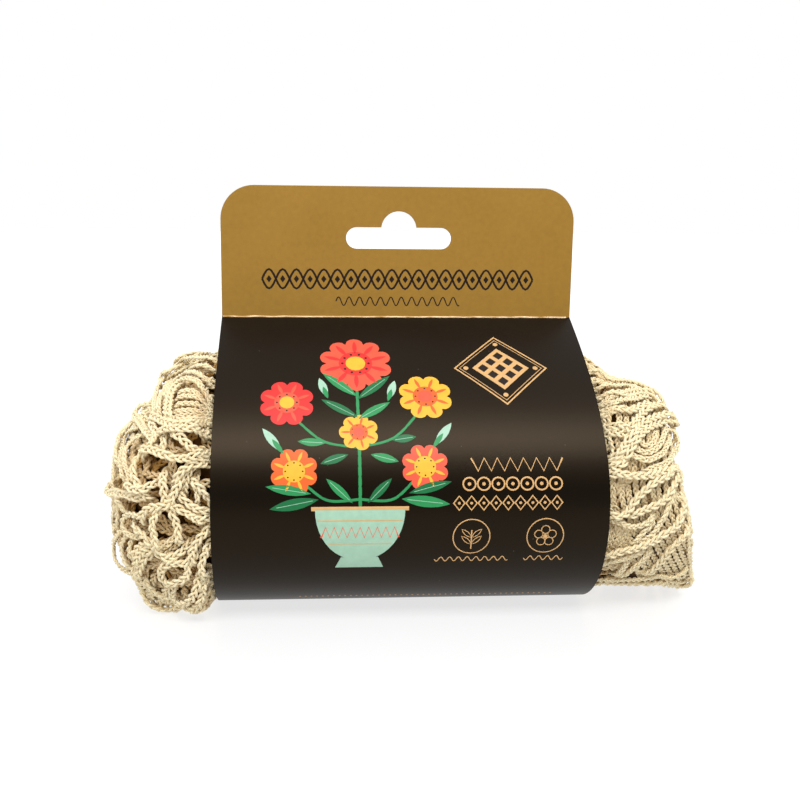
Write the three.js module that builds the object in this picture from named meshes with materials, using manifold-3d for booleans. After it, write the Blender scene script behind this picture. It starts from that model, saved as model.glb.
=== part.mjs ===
// A cotton string bag, rolled for the shop and held in a printed card sleeve.
// The sleeve is one strip of board: it wraps the roll and its two ends are glued
// back to back into a hang card with a euro slot. Millimetres, +X along the roll,
// -Y towards the printed front, +Z up, origin under the middle on the table.
import * as THREE from "three";
import { mergeVertices } from "three/addons/utils/BufferGeometryUtils.js";
import Module from "manifold-3d";

const wasm = await Module();
wasm.setup();

// Driving dimensions of the card sleeve
const sleeveWidth = 107; // along the roll
const sleeveMiddle = -1.7; // the sleeve sits a little left of the middle
const boardThickness = 0.45;
const creaseY = 10.7; // the hang card stands behind the middle of the roll
const creaseZ = 81.3;
const wrapReach = 35.7; // widest place of the wrap, in front and behind
const widestZ = 30.7;
const footMiddle = 1.7; // the wrap lies flat on the table round this line
const footHalf = 12.1;
const footReach = 8.8; // how gently the foot turns up
const footRise = 18.2;
const frontShoulder = 22.5; // how far the wrap keeps its width above the widest place
const backShoulder = 24;
const frontLeave = 25.3; // and how straight it leaves the crease
const backLeave = 15;
const frontFall = THREE.MathUtils.degToRad(30); // slope of the wrap at the crease
const backFall = THREE.MathUtils.degToRad(46);
const wrapSteps = 22; // facets of each curved stretch

// Driving dimensions of the hang card
const cardHeight = 38.9; // above the crease
const cardLean = THREE.MathUtils.degToRad(3.5); // the card leans back a little
const cardCorner = 10;
const slotWidth = 32; // standard euro slot
const slotHeight = 6.4;
const slotRise = 23.7; // its bar's middle above the crease
const domeRadius = 5.4;
const domeRise = 26.3;

// Driving dimensions of the rolled bag. Each end's reaches are taken from the axis
// line at the sleeve's edge; the higher an exponent, the squarer that curve.
const bagAxisY = 0.2;
const bagAxisZ = 34;
const sleeveGap = 0.5; // bag to board, inside the wrap
const edgeGap = 0.35; // and past the wrap's two open edges
const swellStep = 0.15; // the bag swells to its full girth in this length
const aroundSteps = 64;
const endRings = 18;
const ringCrowding = 2.2; // the rings stand closer together near the tip
const lumpStart = 6; // the lumps are full a sixth of the way out
const lumpRound = 3; // and die away at the tip
const leftEnd = {
  side: -1,
  tip: -87.75,
  front: 34,
  back: 33,
  above: 37.8,
  below: 36,
  topSquareness: 2.35, // of the sections
  bottomSquareness: 3.6,
  topSlope: 0, // how far the top has come down at the tip
  topRound: 1.45, // the left end is chamfered above and full below
  bottomRound: 2.45,
  sideRound: 2.3,
  lean: 0.04,
  lumpHeight: 1.6,
};
const rightEnd = {
  side: 1,
  tip: 79.8,
  front: 33,
  back: 31.5,
  above: 37.6,
  below: 35.5,
  topSquareness: 2.35,
  bottomSquareness: 2.1,
  topSlope: 10.5,
  topRound: 9, // the right end is a flat fold face
  bottomRound: 9,
  sideRound: 4.8,
  lean: 0.3, // and its face runs out towards the table
  lumpHeight: 0.9,
};

const curve = (p0, p1, p2, p3) =>
  new THREE.CubicBezierCurve(
    new THREE.Vector2(...p0),
    new THREE.Vector2(...p1),
    new THREE.Vector2(...p2),
    new THREE.Vector2(...p3),
  ).getPoints(wrapSteps);

// The wrap's outer face in the Y-Z plane: from the crease down the front,
// and from the foot up the back to the crease again.
function wrapFront() {
  const top = [creaseY - boardThickness, creaseZ];
  const shoulder = curve(
    top,
    [top[0] - frontLeave * Math.cos(frontFall), top[1] - frontLeave * Math.sin(frontFall)],
    [-wrapReach, widestZ + frontShoulder],
    [-wrapReach, widestZ],
  );
  const belly = curve(
    [-wrapReach, widestZ],
    [-wrapReach, widestZ - footRise],
    [footMiddle - footHalf - footReach, 0],
    [footMiddle - footHalf, 0],
  );
  return [...shoulder, ...belly.slice(1)];
}

function wrapBack() {
  const top = [creaseY + boardThickness, creaseZ];
  const belly = curve(
    [footMiddle + footHalf, 0],
    [footMiddle + footHalf + footReach, 0],
    [wrapReach, widestZ - footRise],
    [wrapReach, widestZ],
  );
  const shoulder = curve(
    [wrapReach, widestZ],
    [wrapReach, widestZ + backShoulder],
    [top[0] + backLeave * Math.cos(backFall), top[1] - backLeave * Math.sin(backFall)],
    top,
  );
  return [...belly, ...shoulder.slice(1)];
}

// Moves each point of an open run to its left by a distance.
function offsetRun(points, distance) {
  return points.map((p, i) => {
    const before = points[Math.max(i - 1, 0)];
    const after = points[Math.min(i + 1, points.length - 1)];
    const along = after.clone().sub(before).normalize();
    return new THREE.Vector2(p.x - along.y * distance, p.y + along.x * distance);
  });
}

// The space inside the wrap, as a closed loop that ends under the crease.
function innerLoop(distance) {
  const clear = 0.2;
  const front = offsetRun(wrapFront(), distance).filter((p) => p.x < creaseY - clear);
  const back = offsetRun(wrapBack(), distance).filter((p) => p.x > creaseY + clear);
  return [...front, ...back];
}

function solidFrom(geometry) {
  const bare = geometry.clone();
  bare.deleteAttribute("normal");
  bare.deleteAttribute("uv");
  const merged = mergeVertices(bare, 1e-4);
  return new wasm.Manifold(
    new wasm.Mesh({
      numProp: 3,
      vertProperties: new Float32Array(merged.attributes.position.array),
      triVerts: new Uint32Array(merged.index.array),
    }),
  );
}

function geometryFrom(solid) {
  const mesh = solid.getMesh();
  const geometry = new THREE.BufferGeometry();
  geometry.setAttribute("position", new THREE.BufferAttribute(mesh.vertProperties, 3));
  geometry.setIndex(new THREE.BufferAttribute(mesh.triVerts, 1));
  geometry.computeVertexNormals();
  return geometry;
}

// The wrap: its loop in Y-Z, extruded along X.
function wrapGeometry() {
  const outline = new THREE.Shape([...wrapFront(), ...wrapBack()]);
  outline.holes.push(new THREE.Path(innerLoop(boardThickness)));
  const geometry = new THREE.ExtrudeGeometry(outline, {
    depth: sleeveWidth,
    bevelEnabled: false,
    steps: 1,
  });
  const turn = new THREE.Matrix4().makeBasis(
    new THREE.Vector3(0, 1, 0),
    new THREE.Vector3(0, 0, 1),
    new THREE.Vector3(1, 0, 0),
  );
  geometry.applyMatrix4(turn);
  geometry.translate(sleeveMiddle - sleeveWidth / 2, 0, 0);
  return geometry;
}

// The hang card: two plies back to back, with round top corners and the slot.
function cardGeometry() {
  const half = sleeveWidth / 2;
  const root = -0.6; // the plies reach into the crease
  const outline = new THREE.Shape();
  outline.moveTo(-half, root);
  outline.lineTo(half, root);
  outline.lineTo(half, cardHeight - cardCorner);
  outline.absarc(half - cardCorner, cardHeight - cardCorner, cardCorner, 0, Math.PI / 2, false);
  outline.lineTo(-half + cardCorner, cardHeight);
  outline.absarc(
    -half + cardCorner, cardHeight - cardCorner, cardCorner, Math.PI / 2, Math.PI, false,
  );
  outline.holes.push(euroSlot());
  const geometry = new THREE.ExtrudeGeometry(outline, {
    depth: 2 * boardThickness,
    bevelEnabled: false,
    curveSegments: 10,
  });
  geometry.rotateX(Math.PI / 2 - cardLean);
  geometry.translate(sleeveMiddle, creaseY + boardThickness, creaseZ);
  return geometry;
}

// A bar with round ends and a dome over its middle.
function euroSlot() {
  const end = slotHeight / 2;
  const reach = slotWidth / 2 - end;
  const top = slotRise + end;
  const spring = Math.asin((top - domeRise) / domeRadius);
  const slot = new THREE.Path();
  slot.absarc(reach, slotRise, end, -Math.PI / 2, Math.PI / 2, false);
  slot.absarc(0, domeRise, domeRadius, spring, Math.PI - spring, false);
  slot.absarc(-reach, slotRise, end, Math.PI / 2, Math.PI * 1.5, false);
  slot.closePath();
  return slot;
}

// Distance from the roll's axis line to a closed loop, at an angle from +Y to +Z.
function loopRadius(loop, angle) {
  const cos = Math.cos(angle);
  const sin = Math.sin(angle);
  let found = 0;
  loop.forEach((p, i) => {
    const q = loop[(i + 1) % loop.length];
    const across = (v) => (v.y - bagAxisZ) * cos - (v.x - bagAxisY) * sin;
    const along = (v) => (v.x - bagAxisY) * cos + (v.y - bagAxisZ) * sin;
    const a = across(p);
    const b = across(q);
    if (a === b || a * b > 0) return;
    const r = along(p) + ((along(q) - along(p)) * a) / (a - b);
    found = Math.max(found, r);
  });
  return found;
}

// A superellipse with its own reach in front, behind, above and below.
function roundRadius(angle, reach) {
  const cos = Math.cos(angle);
  const sin = Math.sin(angle);
  const squareness = sin < 0 ? reach.bottomSquareness : reach.topSquareness;
  const wide = cos < 0 ? reach.front : reach.back;
  const high = sin < 0 ? reach.below : reach.above;
  return Math.pow(
    Math.pow(Math.abs(cos) / wide, squareness) + Math.pow(Math.abs(sin) / high, squareness),
    -1 / squareness,
  );
}

// The bag's folds lift its outline unevenly outside the sleeve.
function lump(x, angle) {
  return (
    0.5 * Math.sin(3 * angle + 0.19 * x)
    + 0.35 * Math.sin(5 * angle - 0.31 * x + 1)
    + 0.3 * Math.sin(8 * angle + 0.23 * x + 2)
  );
}

// One ring of the bag: its points at the same share of the way along.
function bagRing(radiusAt, xAt) {
  const ring = [];
  for (let i = 0; i < aroundSteps; i += 1) {
    const angle = (i / aroundSteps) * 2 * Math.PI;
    const r = radiusAt(angle);
    const y = bagAxisY + r * Math.cos(angle);
    const z = Math.max(bagAxisZ + r * Math.sin(angle), 0);
    ring.push(new THREE.Vector3(xAt(z), y, z));
  }
  return ring;
}

// What is left of a reach, this share of the way out to the tip.
const closing = (out, round) => Math.pow(1 - Math.pow(out, round), 1 / round);

// Rings of one end, from the sleeve's edge out to the tip.
function endRingsOf(end) {
  const edge = sleeveMiddle + end.side * (sleeveWidth / 2 + edgeGap + swellStep);
  const rings = [];
  for (let k = 0; k < endRings; k += 1) {
    const out = 1 - Math.pow(1 - k / endRings, ringCrowding);
    const x = edge + (end.tip - edge) * out;
    const reach = {
      ...end,
      front: end.front * closing(out, end.sideRound),
      back: end.back * closing(out, end.sideRound),
      above: (end.above - end.topSlope * out) * closing(out, end.topRound),
      below: end.below * closing(out, end.bottomRound),
    };
    const swell = end.lumpHeight * Math.min(1, lumpStart * out) * closing(out, lumpRound);
    rings.push(
      bagRing(
        (angle) => roundRadius(angle, reach) + swell * lump(x, angle),
        (z) => x + end.side * end.lean * out * (bagAxisZ - z),
      ),
    );
  }
  return { rings, tip: new THREE.Vector3(end.tip, bagAxisY, bagAxisZ) };
}

// The rolled bag: a middle that fills the sleeve, and two swelling ends.
function bagGeometry() {
  const loop = innerLoop(boardThickness + sleeveGap);
  const middleRing = (x) => bagRing((angle) => loopRadius(loop, angle), () => x);
  const edge = sleeveWidth / 2 + edgeGap;
  const left = endRingsOf(leftEnd);
  const right = endRingsOf(rightEnd);
  const rings = [
    ...left.rings.reverse(),
    middleRing(sleeveMiddle - edge),
    middleRing(sleeveMiddle + edge),
    ...right.rings,
  ];
  const points = [left.tip, ...rings.flat(), right.tip];
  const faces = [];
  const at = (ring, i) => 1 + ring * aroundSteps + (i % aroundSteps);
  for (let i = 0; i < aroundSteps; i += 1) {
    faces.push(0, at(0, i + 1), at(0, i));
    for (let k = 0; k + 1 < rings.length; k += 1) {
      faces.push(at(k, i), at(k, i + 1), at(k + 1, i));
      faces.push(at(k, i + 1), at(k + 1, i + 1), at(k + 1, i));
    }
    faces.push(points.length - 1, at(rings.length - 1, i), at(rings.length - 1, i + 1));
  }
  const geometry = new THREE.BufferGeometry().setFromPoints(points);
  geometry.setIndex(faces);
  geometry.computeVertexNormals();
  return geometry;
}

const board = new THREE.MeshStandardMaterial({ color: 0x2a231c, roughness: 0.42, metalness: 0 });
const cotton = new THREE.MeshStandardMaterial({ color: 0xe3d3ae, roughness: 0.95, metalness: 0 });

const sleeve = new THREE.Mesh(
  geometryFrom(solidFrom(wrapGeometry()).add(solidFrom(cardGeometry()))),
  board,
);
sleeve.name = "card_sleeve";

const bag = new THREE.Mesh(bagGeometry(), cotton);
bag.name = "string_bag";

const part = new THREE.Group();
part.add(bag, sleeve);

export default part;
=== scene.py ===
import math
import random

import bmesh
import bpy
import numpy as np
from mathutils import Matrix, Vector, noise
from mathutils.bvhtree import BVHTree
from mathutils.geometry import interpolate_bezier
from mathutils.kdtree import KDTree


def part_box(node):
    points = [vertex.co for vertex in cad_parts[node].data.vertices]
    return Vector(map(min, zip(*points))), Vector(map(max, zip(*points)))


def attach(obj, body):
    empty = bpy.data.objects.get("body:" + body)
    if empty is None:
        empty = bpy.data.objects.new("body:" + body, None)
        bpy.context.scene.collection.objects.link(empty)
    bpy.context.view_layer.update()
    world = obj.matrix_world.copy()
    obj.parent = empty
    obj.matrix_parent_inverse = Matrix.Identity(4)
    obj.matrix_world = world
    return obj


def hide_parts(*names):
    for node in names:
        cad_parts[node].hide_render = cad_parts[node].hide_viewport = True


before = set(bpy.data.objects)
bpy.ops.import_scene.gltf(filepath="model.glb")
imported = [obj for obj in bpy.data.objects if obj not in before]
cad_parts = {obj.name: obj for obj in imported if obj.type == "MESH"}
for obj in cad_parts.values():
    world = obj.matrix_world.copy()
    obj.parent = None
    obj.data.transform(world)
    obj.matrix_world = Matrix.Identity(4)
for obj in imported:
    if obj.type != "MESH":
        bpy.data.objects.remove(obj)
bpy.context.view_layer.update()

# A rolled cotton net bag in its printed card sleeve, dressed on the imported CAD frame.
# Sizes in the dictionaries are millimetres, and each mesh is turned to metres as it is finished.
# +X runs along the roll, -Y faces the shopper and +Z is up.
scene = bpy.context.scene
scene.view_settings.view_transform = "Standard"
mm = 0.001
noise.seed_set(1)  # or else the noise vectors start from the clock
sleeveLow, sleeveHigh = [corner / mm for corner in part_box("card_sleeve")]


# Helpers for colours, nodes, lines and pieces


def linear(hexColour):
    # An sRGB hex value as linear red, green and blue, with full alpha
    channels = [int(hexColour[i:i + 2], 16) / 255 for i in (1, 3, 5)]
    return [c / 12.92 if c <= 0.04045 else ((c + 0.055) / 1.055) ** 2.4 for c in channels] + [1.0]


def scaleFor(size):
    # A texture's scale from its pattern's real size in millimetres
    return 1 / (size * mm)


def setInputs(node, inputs):
    # Another node's socket is linked, and anything else is set as a value
    for name, value in inputs.items():
        if isinstance(value, bpy.types.NodeSocket):
            node.id_data.links.new(value, node.inputs[name])
        else:
            node.inputs[name].default_value = value


def addNode(tree, kind, inputs=None, **settings):
    node = tree.nodes.new(kind)
    for name, value in settings.items():
        setattr(node, name, value)
    setInputs(node, inputs or {})
    return node


def newMaterial(name):
    material = bpy.data.materials.new(name)
    material.use_nodes = True
    return material, material.node_tree, material.node_tree.nodes["Principled BSDF"]


def patches(tree, size, detail, band=(0.0, 1.0), values=(0.0, 1.0)):
    # Soft patches of a given width in millimetres: the noise itself, and a band of it turned to new values
    place = addNode(tree, "ShaderNodeTexCoord").outputs["Object"]
    cloud = addNode(tree, "ShaderNodeTexNoise", {"Vector": place, "Scale": scaleFor(size), "Detail": detail})
    limits = dict(zip(("From Min", "From Max", "To Min", "To Max"), (*band, *values)))
    turned = addNode(tree, "ShaderNodeMapRange", {"Value": cloud.outputs["Fac"], **limits})
    return cloud.outputs["Fac"], turned.outputs["Result"]


def twoTone(tree, tones, size, detail, band=(0.0, 1.0)):
    # A colour that drifts between two tones in such patches, and their noise
    cloud, share = patches(tree, size, detail, band)
    first, second = [linear(tone) for tone in tones]
    # A Mix node's colours are its sockets 6 and 7, and its result is output 2
    mix = addNode(tree, "ShaderNodeMix", {0: share, 6: first, 7: second}, data_type="RGBA")
    return mix.outputs[2], cloud


def evenRun(line, step):
    # The same line with its points evenly spaced
    lengths = np.r_[0, np.cumsum(np.linalg.norm(np.diff(line, axis=0), axis=1))]
    count = max(4, int(round(lengths[-1] / step)) + 1)  # four points are the fewest that bend
    places = np.linspace(0, lengths[-1], count)
    return np.stack([np.interp(places, lengths, column) for column in line.T], axis=1)


def smoothRun(points, step):
    # A smooth line through the points (Catmull-Rom), evenly spaced
    p = np.asarray(points, float)
    p = np.vstack([2 * p[0] - p[1], p, 2 * p[-1] - p[-2]])
    t = np.linspace(0, 1, 10, endpoint=False)[:, None]  # ten places in each stretch
    parts = []
    for a, b, c, d in zip(p, p[1:], p[2:], p[3:]):
        curved = (2 * a - 5 * b + 4 * c - d) * t ** 2 + (3 * b - a - 3 * c + d) * t ** 3
        parts.append(0.5 * (2 * b + (c - a) * t + curved))
    return evenRun(np.vstack(parts + [p[-2:-1]]), step)


def smoothAlong(values, reach):
    # Each value becomes the mean of its neighbours along the line
    margins = [(reach, reach)] + [(0, 0)] * (values.ndim - 1)
    padded = np.pad(values, margins, mode="edge")
    return sum(padded[i:i + len(values)] for i in range(2 * reach + 1)) / (2 * reach + 1)


def unit(vectors):
    return vectors / np.maximum(np.linalg.norm(vectors, axis=-1, keepdims=True), 1e-9)


def capped(vectors, limit):
    # The same vectors, none of them longer than the limit
    lengths = np.linalg.norm(vectors, axis=1, keepdims=True)
    return vectors * np.minimum(1, limit / np.maximum(lengths, 1e-6))


def newCurve(name, radius=0.0, roundness=0):
    curve = bpy.data.curves.new(name, "CURVE")
    curve.dimensions = "3D"
    curve.bevel_depth = radius
    curve.bevel_resolution = roundness
    curve.use_fill_caps = True
    return curve


def addLine(curve, points, closed=False):
    # A line through points of two or three numbers
    points = np.asarray(points, float)
    places = np.zeros((len(points), 4))
    places[:, :points.shape[1]] = points
    places[:, 3] = 1
    spline = curve.splines.new("POLY")
    spline.points.add(len(points) - 1)
    spline.points.foreach_set("co", places.ravel())
    spline.use_cyclic_u = closed
    return spline


def meshFromShape(name, shape):
    mesh = bpy.data.meshes.new(name)
    shape.to_mesh(mesh)
    shape.free()
    return mesh


def evaluated(data, modifier=None, **settings):
    # The mesh that a curve or mesh turns into, with a modifier if one is named
    holder = bpy.data.objects.new(data.name, data)
    scene.collection.objects.link(holder)
    if modifier:
        added = holder.modifiers.new(data.name, modifier)
        for name, value in settings.items():
            setattr(added, name, value)
    graph = bpy.context.evaluated_depsgraph_get()
    mesh = bpy.data.meshes.new_from_object(holder.evaluated_get(graph), depsgraph=graph)
    bpy.data.objects.remove(holder)
    return mesh


def addPiece(name, mesh, node, materials, sharpAngle=40):
    mesh.materials.clear()
    for material in materials:
        mesh.materials.append(material)
    mesh.shade_smooth()
    if sharpAngle:
        mesh.set_sharp_from_angle(angle=math.radians(sharpAngle))
    piece = bpy.data.objects.new(name, mesh)
    scene.collection.objects.link(piece)
    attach(piece, "root")
    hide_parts(node)


# The camera that took the photograph, and the rays through its pixels

camera = {
    "place": (-30.7, -248.6, 111.3),
    "yaw": 3.37,  # degrees to the right
    "pitch": 12.19,  # degrees down
    "roll": -0.57,
    "focalPixels": 850,
    "axisPixel": (352.15, 400),
    "imagePixels": 800,
    "sensor": 36,
    "nearClip": 0.01,  # metres
}


def cameraAxes():
    yaw, pitch, roll = [math.radians(camera[name]) for name in ("yaw", "pitch", "roll")]
    forward = Vector((math.sin(yaw) * math.cos(pitch), math.cos(yaw) * math.cos(pitch), -math.sin(pitch)))
    level = Vector((math.cos(yaw), -math.sin(yaw), 0))
    below = forward.cross(level)
    right = math.cos(roll) * level + math.sin(roll) * below
    down = math.cos(roll) * below - math.sin(roll) * level
    return right, down, forward


def pixelRay(x, y):
    right, down, forward = cameraAxes()
    across = x - camera["axisPixel"][0]
    lower = y - camera["axisPixel"][1]
    return (forward * camera["focalPixels"] + right * across + down * lower).normalized()


def placeCamera():
    right, down, forward = cameraAxes()
    data = bpy.data.cameras.new("photoCamera")
    data.sensor_width = camera["sensor"]
    data.lens = camera["focalPixels"] / camera["imagePixels"] * camera["sensor"]
    data.shift_x = (camera["imagePixels"] / 2 - camera["axisPixel"][0]) / camera["imagePixels"]
    data.clip_start = camera["nearClip"]
    holder = bpy.data.objects.new("photoCamera", data)
    turn = Matrix((right, -down, -forward)).transposed().to_4x4()
    holder.matrix_world = Matrix.Translation(Vector(camera["place"]) * mm) @ turn
    scene.collection.objects.link(holder)
    scene.camera = holder


placeCamera()
print("camera placed")


# The card sleeve: one strip of board round the roll, its ends glued into the hang card

sleeve = {
    "board": 0.45,
    "creaseY": 10.7,  # the hang card stands behind the middle of the roll
    "creaseZ": 81.3,
    "widestZ": 30.7,
    "footMiddle": 1.7,
    "footHalf": 12.1,
    "footReach": 7,  # from here on, how far each bend's handles reach
    "footRise": 22,
    "frontShoulder": 22.5,
    "backShoulder": 24,
    "frontLeave": 25.3,
    "backLeave": 15,
    "frontFall": 30,  # degrees
    "backFall": 46,
    "segments": 24,
}
sleeve["width"] = sleeveHigh.x - sleeveLow.x
sleeve["middle"] = (sleeveHigh.x + sleeveLow.x) / 2
sleeve["reach"] = sleeveHigh.y

hangCard = {
    "height": 38.9,
    "lean": 3.5,  # degrees, backwards
    "corner": 10,
    "root": -0.6,
    "slotWidth": 32,
    "slotHeight": 6.4,
    "slotRise": 23.7,
    "domeRadius": 5.4,
    "domeRise": 26.3,
    "arcSteps": 14,
    "domeSteps": 18,
    "seam": 0.03,  # between the two glued plies
    "edgeRound": 0.06,  # of the plies' cut edges
}

creaseBead = {
    "radius": 0.27,
    "roundness": 2,
    "step": 1.6,
    "wander": 0.16,  # up and down
    "wanderEach": 4.5,
    "jitter": 0.032,
    "proud": 0.1,
    "seed": 11,
}

# Tones of the board, and the widths of their patches. Real paper grain and fibres are about
# a tenth of a millimetre, too fine to show in the render, so they are drawn this coarse.
boardFinish = {
    "black": ("#0C0805", "#0F0A06"),
    "blackPatch": 16,
    "blackGrain": 0.6,
    "dust": "#9A8F80",
    "dustApart": 2.4,
    "dustEdge": (0.04, 0.07),  # where a speck fades out, as shares of that distance
    "dustFree": 0.86,  # share of the places that hold no speck
    "dustStrength": 0.24,
    "gold": ("#906C27", "#97712B"),
    "goldPatch": 28,
    "goldGrain": 1.4,
    "goldShades": (0.94, 1.05),
    "cutEdge": ("#0B0806", "#1C1611"),
    "cutFibre": 0.4,
    # pale cracked coating along the fold, which also serves as a painted highlight there
    "crackAndHighlight": ("#B98F52", "#F2D2A6"),
    "crackPatch": 4.5,
}


def blackBoard():
    # Coated carton, offset printed solid black-brown and laminated satin:
    # dark, with a soft broad sheen, a faint paper grain and a few dust specks
    material, tree, shader = newMaterial("blackOffsetPrintedBoard")
    ink, _ = twoTone(tree, boardFinish["black"], boardFinish["blackPatch"], detail=2)
    place = addNode(tree, "ShaderNodeTexCoord").outputs["Object"]
    dust = addNode(
        tree, "ShaderNodeTexVoronoi", {"Vector": place, "Scale": scaleFor(boardFinish["dustApart"])},
    )
    pick = addNode(tree, "ShaderNodeSeparateColor", {"Color": dust.outputs["Color"]})
    few = addNode(
        tree, "ShaderNodeMath", {0: pick.outputs["Red"], 1: boardFinish["dustFree"]},
        operation="GREATER_THAN",
    )
    inner, outer = boardFinish["dustEdge"]
    limits = {"From Min": inner, "From Max": outer, "To Min": boardFinish["dustStrength"], "To Max": 0.0}
    near = addNode(tree, "ShaderNodeMapRange", {"Value": dust.outputs["Distance"], **limits})
    speck = addNode(
        tree, "ShaderNodeMath", {0: near.outputs["Result"], 1: few.outputs[0]}, operation="MULTIPLY",
    )
    dusty = addNode(
        tree, "ShaderNodeMix", {0: speck.outputs[0], 6: ink, 7: linear(boardFinish["dust"])},
        data_type="RGBA",
    )
    grain, _ = patches(tree, boardFinish["blackGrain"], detail=2)
    relief = addNode(tree, "ShaderNodeBump", {"Height": grain, "Strength": 0.06, "Distance": 0.2 * mm})
    setInputs(shader, {
        "Base Color": dusty.outputs[2],
        "Roughness": 0.37,
        "IOR": 1.47,
        "Specular IOR Level": 0.21,
        "Specular Tint": (1.0, 0.75, 0.5, 1.0),
        "Normal": relief.outputs["Normal"],
    })
    return material


def goldBoard():
    # The same carton printed in a flat old-gold ink: matt, a little uneven where the ink lies thicker
    material, tree, shader = newMaterial("goldOffsetPrintedBoard")
    ink, _ = twoTone(tree, boardFinish["gold"], boardFinish["goldPatch"], detail=3, band=(0.3, 0.7))
    grain, tone = patches(
        tree, boardFinish["goldGrain"], detail=2, band=(0.25, 0.75), values=boardFinish["goldShades"],
    )
    shade = addNode(tree, "ShaderNodeVectorMath", {0: ink, "Scale": tone}, operation="SCALE")
    relief = addNode(tree, "ShaderNodeBump", {"Height": grain, "Strength": 0.05, "Distance": 0.2 * mm})
    setInputs(shader, {
        "Base Color": shade.outputs[0],
        "Roughness": 0.55,
        "IOR": 1.47,
        "Specular IOR Level": 0.25,
        "Normal": relief.outputs["Normal"],
    })
    return material


def cutBoardEdge():
    # The cut edge and inner side of the strip: dull and nearly black, with paper fibres
    material, tree, shader = newMaterial("dieCutBoardEdge")
    colour, _ = twoTone(tree, boardFinish["cutEdge"], boardFinish["cutFibre"], detail=3)
    setInputs(shader, {"Base Color": colour, "Roughness": 0.8, "Specular IOR Level": 0.1})
    return material


def crackedCreaseHighlight():
    # Where the board is scored and folded its coating cracks: pale paper fibres show through the gold. The
    # pale tone also paints the fold's highlight.
    material, tree, shader = newMaterial("scoredBoardCrease")
    colour, _ = twoTone(tree, boardFinish["crackAndHighlight"], boardFinish["crackPatch"], detail=4, band=(0.35, 0.6))
    setInputs(shader, {"Base Color": colour, "Roughness": 0.7, "Specular IOR Level": 0.2})
    return material


def wrapStations():
    # The outer face in the Y-Z plane as Bezier points: place, handle before, handle after
    reach = sleeve["reach"]
    rise = sleeve["widestZ"]
    front = Vector((sleeve["creaseY"] - sleeve["board"], sleeve["creaseZ"]))
    back = Vector((sleeve["creaseY"] + sleeve["board"], sleeve["creaseZ"]))
    fall = math.radians(sleeve["frontFall"])
    backFall = math.radians(sleeve["backFall"])
    leave = front - Vector((math.cos(fall), math.sin(fall))) * sleeve["frontLeave"]
    arrive = back + Vector((math.cos(backFall), -math.sin(backFall))) * sleeve["backLeave"]
    toes = [Vector((sleeve["footMiddle"] + side * sleeve["footHalf"], 0)) for side in (-1, 1)]
    gentle = Vector((sleeve["footReach"], 0))
    under = rise - sleeve["footRise"]
    return [
        (front, front, leave),
        (Vector((-reach, rise)), Vector((-reach, rise + sleeve["frontShoulder"])), Vector((-reach, under))),
        (toes[0], toes[0] - gentle, toes[0]),
        (toes[1], toes[1], toes[1] + gentle),
        (Vector((reach, rise)), Vector((reach, under)), Vector((reach, rise + sleeve["backShoulder"]))),
        (back, arrive, back),
    ]


def wrapMesh(materials):
    # The strip's line drawn out sideways, with its thickness grown inwards
    stations = wrapStations()
    curve = newCurve("wrap")
    curve.resolution_u = sleeve["segments"]
    spline = curve.splines.new("BEZIER")
    spline.bezier_points.add(len(stations) - 1)
    for point, (place, before, after) in zip(spline.bezier_points, stations):
        point.handle_left_type = "FREE"
        point.handle_right_type = "FREE"
        point.co = (0, *place)
        point.handle_left = (0, *before)
        point.handle_right = (0, *after)
    shape = bmesh.new()
    shape.from_mesh(evaluated(curve))
    bmesh.ops.translate(shape, verts=shape.verts, vec=(sleeveLow.x, 0, 0))
    made = bmesh.ops.extrude_edge_only(shape, edges=shape.edges[:])
    far = [item for item in made["geom"] if isinstance(item, bmesh.types.BMVert)]
    bmesh.ops.translate(shape, verts=far, vec=(sleeve["width"], 0, 0))
    shape.normal_update()
    lowest = min(shape.faces, key=lambda face: face.calc_center_median().z)
    if lowest.normal.z > 0:
        bmesh.ops.reverse_faces(shape, faces=shape.faces[:])
    mesh = meshFromShape("card_wrap", shape)
    for material in materials:
        mesh.materials.append(material)
    # The second material goes on the inner side and the rim
    return evaluated(
        mesh, "SOLIDIFY", thickness=sleeve["board"], offset=-1, use_even_offset=True, material_offset=1,
        material_offset_rim=1,
    )


def arcPoints(centre, radius, start, end, steps):
    angles = [math.radians(start + (end - start) * i / steps) for i in range(steps + 1)]
    return [(centre[0] + radius * math.cos(a), centre[1] + radius * math.sin(a)) for a in angles]


def flatCurve(name, thickness, edgeRound=0.0):
    # A filled outline with a thickness: a 2D curve in the X-Y plane
    curve = newCurve(name, edgeRound, 1 if edgeRound else 0)
    curve.dimensions = "2D"
    curve.fill_mode = "BOTH"
    curve.extrude = thickness / 2 - edgeRound
    curve.offset = -edgeRound
    return curve


def cardPlane(forwardShift):
    # Turns a drawing (across, up, out) into a place on the leaning hang card
    lean = math.radians(hangCard["lean"])
    up = Vector((0, math.sin(lean), math.cos(lean)))
    out = Vector((0, -math.cos(lean), math.sin(lean)))
    turn = Matrix((Vector((1, 0, 0)), up, out)).transposed().to_4x4()
    root = Vector((sleeve["middle"], sleeve["creaseY"], sleeve["creaseZ"]))
    return Matrix.Translation(root + out * forwardShift) @ turn


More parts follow.
